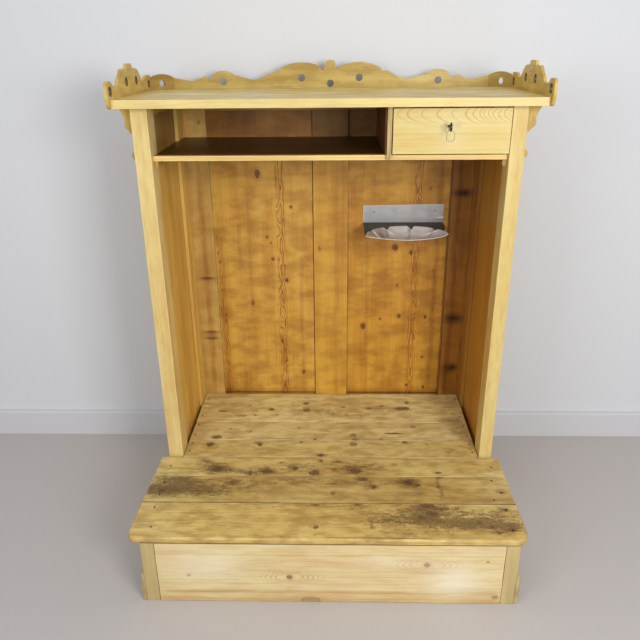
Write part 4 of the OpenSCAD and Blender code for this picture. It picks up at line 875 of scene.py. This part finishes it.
do("floor_board_rear", wood("floor_board_rear", "x", "z", 60, node_box("floor_board_rear"), pith=(350, 205), slope=(0.01, 0.02), **fl, **FLOORC, knots=[(q[0], q[1], q[2] * 1.4, min(1.0, q[3] * 1.3)) + tuple(q[4:]) for q in FK],
                            stains=[(q[0] - 4, q[1] + 3, q[2] * 3.0, q[2] * 1.9, q[3] * 0.75) for q in FK if q[2] > 5] + [(-60, 330, 120, 40, 0.55), (290, 330, 160, 50, 0.45), (80, 290, 120, 30, 0.4), (500, 250, 60, 30, 0.6)], lines=[(440, 553, 251, 1.3, 0.8)], seams=[('y', 241.6, 1.8, 0.5), ('y', 475.5, 1.8, 0.5)], edge_f=0.15),
   bevel=1.6, step=(26, 26, 30), wear=1.2, wave=0.6, seed=60)
do("floor_board_middle", wood("floor_board_middle", "x", "z", 61, node_box("floor_board_middle"), pith=(170, 200), slope=(-0.01, 0.0), **fl, **FLOORC, knots=[(q[0], q[1], q[2] * 1.4, min(1.0, q[3] * 1.3)) + tuple(q[4:]) for q in FM],
                              stains=[(q[0] - 4, q[1] + 3, q[2] * 3.0, q[2] * 1.9, q[3] * 0.75) for q in FM if q[2] > 5] + [(500, 170, 70, 40, 0.6), (-330, 160, 160, 25, 0.35), (-260, 120, 150, 14, 0.4)], lines=[(-245, -140, 118, 1.6, 0.9), (210, 300, 157, 2.5, 0.95)], seams=[('y', 106.6, 1.8, 0.5), ('y', 240.6, 1.8, 0.5)], edge_f=0.15),
   bevel=1.6, step=(26, 26, 30), wear=1.2, wave=0.6, seed=61)
do("floor_board_front", wood("floor_board_front", "x", "z", 62, node_box("floor_board_front"), pith=(50, 190), slope=(0.01, 0.0), **fl, **FLOORC, knots=[(q[0], q[1], q[2] * 1.4, min(1.0, q[3] * 1.3)) + tuple(q[4:]) for q in FF],
                             stains=[(q[0] - 4, q[1] + 3, q[2] * 3.0, q[2] * 1.9, q[3] * 0.75) for q in FF if q[2] > 5] + [(-250, 95, 180, 12, 0.4), (100, 10, 300, 14, 0.4)], seams=[('y', -6.4, 1.8, 0.5), ('y', 105.6, 1.8, 0.5)], edge_f=0.15), bevel=1.6, step=(26, 26, 30), wear=1.2, wave=0.6, seed=62)

# step boards
SR = [(-411, -84, 15, 1.0, 1.1), (-290, -111, 9, 0.85, 1.2), (-229, -97, 14, 0.95, 1.4), (-128, -79, 10, 0.95, 1.2), (-57, -106, 15, 0.9, 1.3), (-454, -39, 12, 0.5, 1.0), (-33, -26, 8, 0.8, 0.8),
      (92, -93, 17, 0.95, 1.2), (389, -100, 7, 0.8, 1.5), (-180, -44, 5, 0.8, 2.0), (30, -40, 6, 0.7, 2.2)]
SM = [(-584, -214, 11, 1.0, 1.1), (-343, -163, 12, 0.7, 1.0), (12, -221, 9, 0.7, 0.9), (119, -141, 11, 0.75, 1.6), (154, -185, 10, 0.95, 1.0), (277, -158, 15, 1.0, 1.0), (307, -176, 6, 0.9, 1.4),
      (590, -212, 6, 0.9, 1.8), (390, -126, 7, 0.8, 1.6), (-535, -210, 8, 0.4, 1.2)]
SF = [(-43, -393, 8, 0.95, 1.1), (337, -325, 12, 0.9, 1.6), (300, -341, 9, 0.9, 1.4), (483, -364, 8, 0.9, 1.1), (522, -386, 7, 0.9, 1.0), (583, -398, 8, 1.0, 1.4), (582, -302, 7, 0.9, 2.0), (330, -287, 9, 0.85, 2.6),
      (136, -393, 6, 0.6, 1.0), (96, -281, 8, 0.6, 1.4), (538, -415, 6, 0.8, 1.2), (375, -298, 5, 0.9, 5.0)]
stp = dict(ring=5.2, wob=(10, 8), warp=2.4, dirt=0.7, rough=0.5, coat=0.08, bump=0.5, contrast=0.6, ragged=1.9, mottle=0.5, mottle_col=(176, 148, 112), mottle_len=(66.0, 30.0), stain_col=(88, 62, 32), stain_n=(2.8, 1.9), halo_f=0.12, knot_col=(58, 42, 28))
do("step_board_rear", wood("step_board_rear", "x", "z", 63, node_box("step_board_rear"), pith=(-90, 215), slope=(0.01, 0.0), **stp, **FLOORC, knots=SR,
                           stains=[(q[0] - 4, q[1] + 3, q[2] * 3.0, q[2] * 1.9, q[3] * 0.75) for q in SR if q[2] > 5] + [(-411, -84, 60, 30, 0.75), (-300, -100, 150, 22, 0.6), (-120, -60, 160, 30, 0.5), (80, -70, 110, 34, 0.6), (-450, -50, 60, 28, 0.4), (-560, -118, 70, 14, 0.5), (200, -60, 100, 30, 0.4)], seams=[('y', -123.5, 1.8, 0.5), ('y', -7.6, 1.8, 0.5)], edge_f=0.12),
   bevel=1.8, step=(24, 24, 30), wear=1.3, wave=0.7, seed=63)
do("step_board_middle", wood("step_board_middle", "x", "z", 64, node_box("step_board_middle"), pith=(-190, 205), slope=(-0.008, 0.0), **stp, **FLOORC, knots=SM,
                             stains=[(q[0] - 4, q[1] + 3, q[2] * 3.0, q[2] * 1.9, q[3] * 0.75) for q in SM if q[2] > 5] + [(-568, -145, 70, 22, 1.0), (-520, -170, 80, 34, 0.95), (-600, -205, 60, 34, 1.0), (-450, -215, 130, 24, 0.75), (-110, -150, 170, 24, 0.5), (277, -158, 50, 26, 0.8), (300, -225, 200, 20, 0.35),
                                     (-470, -200, 190, 70, 0.45), (380, -160, 12, 34, 0.9), (384, -215, 9, 40, 0.7), (-300, -180, 160, 30, 0.5), (90, -160, 160, 26, 0.45)], lines=[(180, 600, -125.5, 1.2, 0.8)], seams=[('y', -272.5, 2.4, 0.9), ('y', -124.5, 1.8, 0.5)], edge_f=0.12),
   bevel=1.8, step=(24, 24, 30), wear=1.3, wave=0.7, seed=64)
do("step_board_front", wood("step_board_front", "x", "z", 65, node_box("step_board_front"), pith=(-350, 190), slope=(0.01, 0.0), **stp, **FLOORC, knots=SF,
                            stains=[(q[0] - 4, q[1] + 3, q[2] * 3.0, q[2] * 1.9, q[3] * 0.75) for q in SF if q[2] > 5] + [(330, -310, 90, 44, 0.95), (200, -345, 90, 34, 0.55), (500, -370, 130, 30, 1.0), (520, -320, 110, 30, 0.75), (400, -375, 120, 22, 0.7), (270, -360, 160, 20, 0.4), (-60, -282, 60, 10, 0.7), (580, -395, 40, 26, 1.0),
                                    (60, -300, 120, 24, 0.4), (-250, -330, 160, 34, 0.18), (330, -350, 260, 90, 0.32), (250, -420, 160, 24, 0.3)], lines=[(-20, 330, -441, 1.6, 0.8)], seams=[('y', -273.5, 2.4, 0.9)], edge_f=0.12),
   bevel=1.8, step=(20, 20, 12), wear=1.6, wave=0.7, seed=65)

RK = [(-454, 110, 5, 0.7), (-128, 105, 9, 0.95, 1.1, 1.6), (-60, 9, 15, 0.45, 2.2), (311, 160, 9, 0.9, 1.1, 1.6), (502, 175, 3.5, 0.95), (537, 28, 8, 0.6)]
# painted highlights: the three near-white spots on the riser, at its right third, its left and its middle
do("step_riser", wood("step_riser", "x", "y", 66, node_box("step_riser"), pith=(-260, -560), slope=(0.006, 0.0), ring=7.0, wob=(5, 3), wob_len=330, warp=0.8, **{**PALE, "early": (236, 214, 162), "late": (208, 170, 110), "tone": (240, 206, 176)}, contrast=0.75, calm=(0.3, 0.7), knots=RK,
                      bands=[(-560, 560, 42, 12, 0.5, (206, 168, 116)), (-560, 560, 196, 9, 0.25, (214, 180, 130)), (-300, 400, 128, 10, 0.25, (214, 180, 130)), (-560, 560, 12, 9, 0.3, (210, 176, 130))],
                      seams=[("z", 238, 2.5, 0.65), ("z", 0, 3.0, 0.6)], mottle=0.35, mottle_col=(222, 190, 150), mottle_len=(110.0, 20.0), halo_f=0.3, knot_col=(112, 72, 40),
                      circles=[(311, 160, 12, 6.0, 5.0, 0.3, 0.4, (206, 160, 110)), (-128, 105, 11, 5.5, 6.0, 0.34, 0.5, (200, 154, 104))],
                      spots=[(400, 95, 90, 70, 0.55, (255, 246, 228)), (-400, 150, 110, 60, 0.4, (255, 242, 222)), (200, 170, 120, 26, 0.3, (255, 244, 222)), (60, 60, 120, 40, 0.15, (226, 190, 148)), (-130, 140, 90, 20, 0.25, (226, 180, 130)), (-230, 40, 16, 12, 0.5, (222, 190, 120))],
                      zgrad=[("z", 50, -20, (222, 192, 128), 0.5)], edge_f=0.2, coat=0.25, rough=0.38),
   bevel=1.2, step=(28, 20, 24), wear=1.2, wave=0.5, seed=66)
do("step_corner_posts", wood("step_corner_posts", "z", "y", 67, None, pith=(0, -300), ring=4.0, early=(204, 184, 130), late=(168, 142, 86), tone=(186, 176, 130), tone_f=0.5, light=(218, 206, 160), seams=[("x", -555.5, 1.8, 0.7), ("x", 555.5, 1.8, 0.7), ("z", 238, 2.0, 0.5)]), bevel=1.6, step=(20, 20, 24), wear=1.4, seed=67)
do("step_side_boards", wood("step_side_boards", "y", "x", 68, None, pith=(120, 500), **FLOORC), bevel=1.2, step=(40, 30, 30), wear=0.8, seed=68)
do("step_plinths", wood("step_plinths", "y", "x", 69, None, pith=(60, 500), **FLOORC), bevel=1.2, grid=False, wear=0.0, wave=0.2)
for k, n in enumerate(("floor_bearers", "step_rear_rail", "step_bearers")):
    do(n, wood(n, "y" if "bearers" in n else "x", "z", 70 + k, None, **FLOORC), bevel=1.0, grid=False, wear=0.0, wave=0.1)

# ------------------------------------------------------------------ shell bowl
def shell_rim(a):
    u = math.cos(a)
    sn = math.sin(a)
    lobe = math.exp(-((u + 0.47) / 0.05) ** 2) + math.exp(-((u - 0.144) / 0.05) ** 2) + 0.9 * math.exp(-((u - 0.725) / 0.045) ** 2) + 0.6 * math.exp(-((u + 0.875) / 0.03) ** 2)
    if sn >= 0:
        y = 292 + 82 * abs(sn) ** 1.1 - 26 * lobe * abs(sn) ** 0.5 - 22 * max(0.0, -u) ** 2 * (1 - sn) ** 3
        dz = sn * (3 - 5 * lobe)
    else:
        lt = max(0.0, -u) ** 2
        y = 292 - 22 * lt - (64 - 18 * lt) * abs(sn) ** 1.5
        dz = 0.0
    return 284 + 153 * u, y, 1033 + (y - 215) * 0.076 + dz


def seg_dist(x, y, x0, y0, x1, y1):
    dx, dy = x1 - x0, y1 - y0
    f = max(0.0, min(1.0, ((x - x0) * dx + (y - y0) * dy) / (dx * dx + dy * dy)))
    return math.hypot(x - x0 - f * dx, y - y0 - f * dy), f


CREASES = ((212, 348, 226, 224, 1.0), (308, 372, 285, 262, 1.0), (395, 346, 318, 226, 0.75), (152, 322, 196, 236, 0.6))


def shell_detail(x, y, s):
    """height to take off the upper face, the painted shadow beside the creases, and the rib wave"""
    ridge = 0.0
    dark = 0.0
    for (x0, y0, x1, y1, w) in CREASES:
        d, f = seg_dist(x, y, x0, y0, x1, y1)
        k = w * (1.0 - 0.75 * f)
        side = math.copysign(1.0, (x - x0) * (y1 - y0) - (y - y0) * (x1 - x0))
        ridge += k * math.exp(-(d / 9.0) ** 2)
        dark += k * (math.exp(-((d - 1.5) / 3.4) ** 2) * (1.0 if side > 0 else 0.45))
    ux, uy = 272.0, 150.0
    phi = math.atan2(x - ux, y - uy)
    rib = math.sin(phi * 150.0 + 2.0 * math.sin(phi * 23.0))
    return ridge, dark, rib


def make_shell():
    N, M = 300, 34
    cx, cy, deep = 284.0, 316.0, 17.0
    rims = [shell_rim(2 * math.pi * i / N) for i in range(N)]

    def inner(i, s):
        rx, ry, rz = rims[i % N]
        return [cx + s * (rx - cx), cy + s * (ry - cy), rz * s + (1 - s) * 1037 - deep * (1 - s ** 3) ** 1.5]

    verts, tones = [], []

    def put(p, s, upper):
        ridge, dark, rib = shell_detail(p[0], p[1], s)
        z = p[2]
        if upper:
            # folds: troughs between the creases, everything cut out of the bowl's thickness
            z -= (1.0 - min(1.0, ridge)) * 1.1 * min(1.0, (1 - s) * 6.0 + 0.15) + 0.12 * (1 + rib) * s
            z -= 0.25 * abs(mn.noise(Vector((p[0] * 0.05, p[1] * 0.05, 3.0))))
        verts.append(W(p[0], p[1], z))
        n1 = mn.noise(Vector((p[0] * 0.03, p[1] * 0.05, 1.0)))
        n2 = mn.noise(Vector((p[0] * 0.25, p[1] * 0.25, 5.0)))
        base = np.array([206.0, 193.0, 180.0]) * (1.0 + 0.07 * n1 + 0.05 * n2 + 0.03 * rib)
        if upper:
            # the left fold is greyer and browner, the middle paler
            lf = 1.0 / (1.0 + math.exp((p[0] - 214 + (p[1] - 290) * 0.12) / 4.0))
            base = base * (1 - lf) + np.array([168.0, 150.0, 130.0]) * (1 + 0.1 * n1) * lf
            rf = 1.0 / (1.0 + math.exp(-(p[0] - 320 - (p[1] - 226) * 0.62) / 5.0))
            base = base * (1 - 0.25 * rf) + np.array([176.0, 160.0, 152.0]) * 0.25 * rf
            # painted shadow along the creases, stronger on one side of each
            dk = min(1.0, dark)
            base = base * (1 - 0.62 * dk) + np.array([92.0, 70.0, 54.0]) * 0.62 * dk
            # painted highlight along the edge of the left fold, and painted shade on the fold beside it
            d, f = seg_dist(p[0], p[1], 161, 327, 217, 224)
            st = math.exp(-(d / 4.2) ** 2)
            base = base * (1 - 0.9 * st) + np.array([252.0, 244.0, 240.0]) * 0.9 * st
            d, f = seg_dist(p[0], p[1], 186, 322, 221, 232)
            base = base * (1 - 0.25 * math.exp(-(d / 7.0) ** 2))
        # painted highlight along the rim, stronger towards the sides
        rm = max(0.0, (s - 0.955) / 0.045)
        rm *= 0.3 + 0.5 * max(0.0, min(1.0, (abs(p[0] - 284.0) - 70.0) / 60.0))
        base = base * (1 - rm) + np.array([238.0, 228.0, 216.0]) * rm
        tones.append([max(0.0, min(255.0, q)) for q in base])

    c0 = inner(0, 0.0)
    put(c0, 0.0, True)
    ss = [(j / M) ** 0.85 for j in range(1, M + 1)]
    for s in ss:
        for i in range(N):
            put(inner(i, s), s, True)
    K = len(verts)
    put([c0[0], c0[1], c0[2] - 5.0], 0.0, False)
    for s in ss:
        for i in range(N):
            p = inner(i, s)
            p[2] -= 2.6 + 2.4 * (1 - s)
            put(p, s, False)
    faces = []
    for b, flip in ((0, False), (K, True)):
        for i in range(N):
            f = (b, b + 1 + i, b + 1 + (i + 1) % N)
            faces.append(f[::-1] if flip else f)
        for j in range(M - 1):
            for i in range(N):
                q = b + 1 + j * N
                f = (q + i, q + N + i, q + N + (i + 1) % N, q + (i + 1) % N)
                faces.append(f[::-1] if flip else f)
    q0, q1 = 1 + (M - 1) * N, K + 1 + (M - 1) * N
    for i in range(N):
        faces.append((q0 + i, q1 + i, q1 + (i + 1) % N, q0 + (i + 1) % N))
    me = bpy.data.meshes.new("stoup_shell_fine")
    me.from_pydata([tuple(v) for v in verts], [], faces)
    for f in me.polygons:
        f.use_smooth = True
    at = me.color_attributes.new("tone", "FLOAT_COLOR", "POINT")
    flat = np.ones((len(verts), 4), dtype=np.float32)
    for k, c in enumerate(tones):
        flat[k, :] = lin(c)
    at.data.foreach_set("color", flat.ravel())
    ob = bpy.data.objects.new("stoup_shell_fine", me)
    scene.collection.objects.link(ob)
    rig.ride(ob, NODES["stoup_shell"].get("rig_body"))
    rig.replaces(ob, "stoup_shell")
    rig.slot(ob, "shell")
    mat = bpy.data.materials.new("shell")
    mat.use_nodes = True
    t = T(mat.node_tree)
    bs = mat.node_tree.nodes["Principled BSDF"]
    vc = t.n("ShaderNodeVertexColor", layer_name="tone")
    co = t.n("ShaderNodeTexCoord").outputs["Object"]
    P = t.v("SCALE", co, scale=1000.0)
    nf = t.noise(t.v("SCALE", P, scale=0.6), 1.0, 3.0, 0.6)
    col = t.mixc(t.smooth(nf, 0.45, 0.75, 0.0, 0.25), vc.outputs[0], lin((150, 128, 108)))
    if "stoup_shell" in BOARD_TONE_AND_SHADE_GAIN:
        col = t.v("MULTIPLY", col, BOARD_TONE_AND_SHADE_GAIN["stoup_shell"])
    t.put(bs.inputs["Base Color"], col)
    bs.inputs["Roughness"].default_value = 0.42
    bs.inputs["Coat Weight"].default_value = 0.25
    bs.inputs["Coat Roughness"].default_value = 0.2
    bs.inputs["Subsurface Weight"].default_value = 0.0
    bp = t.n("ShaderNodeBump")
    bp.inputs["Strength"].default_value = 0.25
    bp.inputs["Distance"].default_value = 0.0006
    t.put(bp.inputs["Height"], nf)
    t.t.links.new(bp.outputs[0], bs.inputs["Normal"])
    set_mat(ob, mat)
    made["stoup_shell"] = ob


make_shell()


def zinc_plate():
    """pale upright leaf with a long scuff; its flange is painted dark, as painted shade and a painted reflection of the
    dark wood above
    """
    mat = bpy.data.materials.new("zinc_plate")
    mat.use_nodes = True
    t = T(mat.node_tree)
    bs = mat.node_tree.nodes["Principled BSDF"]
    co = t.n("ShaderNodeTexCoord").outputs["Object"]
    P = t.v("ADD", t.v("SCALE", co, scale=1000.0), (0.0, YM, 0.0))
    c = t.sep(P)
    fl = t.smooth(c[2], 1035.0, 1031.5)
    n1 = t.noise(t.comb(t.mul(c[0], 0.02), t.mul(c[1], 0.5), t.mul(c[2], 0.9)), 1.0, 3.0, 0.6)
    n2 = t.noise(t.v("SCALE", P, scale=0.025), 1.0, 3.0, 0.6)
    n3 = t.noise(t.v("SCALE", P, scale=0.13), 1.0, 3.0, 0.65)
    col = t.mixc(t.smooth(n2, 0.3, 0.7), lin((196, 196, 198)), lin((182, 178, 172)))
    col = t.mixc(t.mul(n1, 0.35), col, lin((214, 214, 218)))
    col = t.mixc(t.smooth(n3, 0.58, 0.74, 0.0, 0.25), col, lin((150, 146, 142)))
    col = t.mixc(t.smooth(c[2], 1060.0, 1036.0, 0.0, 0.22), col, lin((120, 112, 116)))
    # a dent at the lower right with a painted highlight on it, and painted shade under it
    w = t.mul(t.smooth(c[0], 402.0, 436.0), t.smooth(t.m("ABSOLUTE", t.sub(c[2], t.mad(t.sub(c[0], 405.0), 0.06, 1051.0))), t.mad(t.sub(c[0], 402.0), 0.14, 0.8), 0.6))
    col = t.mixc(t.mul(w, 0.9), col, lin((250, 244, 226)))
    w2 = t.mul(t.smooth(c[0], 395.0, 425.0), t.smooth(t.m("ABSOLUTE", t.sub(c[2], 1043.0)), 5.0, 1.0))
    col = t.mixc(t.mul(w2, 0.35), col, lin((132, 124, 118)))
    # rubbed bright edges of the leaf
    ed = t.m("MAXIMUM", t.smooth(c[0], 133.0, 130.0), t.smooth(c[2], t.mad(t.sub(c[0], 129.0), 0.0158, 1097.5), t.mad(t.sub(c[0], 129.0), 0.0158, 1099.5)))
    col = t.mixc(t.mul(ed, 0.5), col, lin((232, 230, 228)))
    # painted shade and painted reflection: the dark colours of the flange
    dk = t.mixc(t.smooth(n3, 0.4, 0.7), lin((96, 92, 88)), lin((72, 66, 60)))
    dk = t.mixc(t.smooth(n2, 0.5, 0.7, 0.0, 0.5), dk, lin((112, 96, 84)))
    col = t.mixc(fl, col, dk)
    t.put(bs.inputs["Base Color"], col)
    t.put(bs.inputs["Metallic"], t.mad(fl, -0.25, 0.55))
    t.put(bs.inputs["Roughness"], t.mad(fl, 0.2, t.mad(n1, 0.15, 0.38)))
    bp = t.n("ShaderNodeBump")
    bp.inputs["Strength"].default_value = 0.3
    bp.inputs["Distance"].default_value = 0.0008
    t.put(bp.inputs["Height"], t.add(n1, t.mul(t.noise(t.v("SCALE", P, scale=0.012), 1.0, 1.0), 6.0)))
    t.t.links.new(bp.outputs[0], bs.inputs["Normal"])
    return mat


simple()
IRON = metal("lock_iron", (70, 66, 60), 0.5, 0.9, 0.3, (60, 34, 18), 0.5)
BRASS = metal("old_brass", (150, 120, 62), 0.45, 1.0, 0.3, (70, 50, 26), 0.5)
KEYM = metal("key_iron", (84, 80, 74), 0.42, 0.95, 0.3, (50, 34, 22), 0.4)
WIRE = metal("wire", (150, 140, 120), 0.35, 1.0, 0.2)
ZINC = zinc_plate()
SCREW = metal("screw_steel", (176, 174, 172), 0.5, 0.5, 0.3, (120, 112, 104), 0.5)
NAIL = metal("nail_iron", (44, 34, 26), 0.75, 0.6, 0.2, (70, 38, 18), 0.5)
CEM = metal("cement", (150, 140, 125), 0.9, 0.0, 0.1, (120, 110, 100), 0.4)
for n, m in (("lock_case", IRON), ("lock_screws", IRON), ("lock_bolt", BRASS), ("keyhole_pins", BRASS), ("key", KEYM), ("key_ring", WIRE), ("stoup_plate", ZINC), ("stoup_screws", SCREW),
             ("stoup_pads", CEM), ("plank_nails", NAIL), ("gallery_nails", NAIL)):
    set_mat(NODES[n], m)

_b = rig.bounds()
json.dump({"cad": [list(map(float, q)) for q in CAD_BOX], "visual": [list(map(float, q)) for q in _b]}, open("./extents.json", "w"))
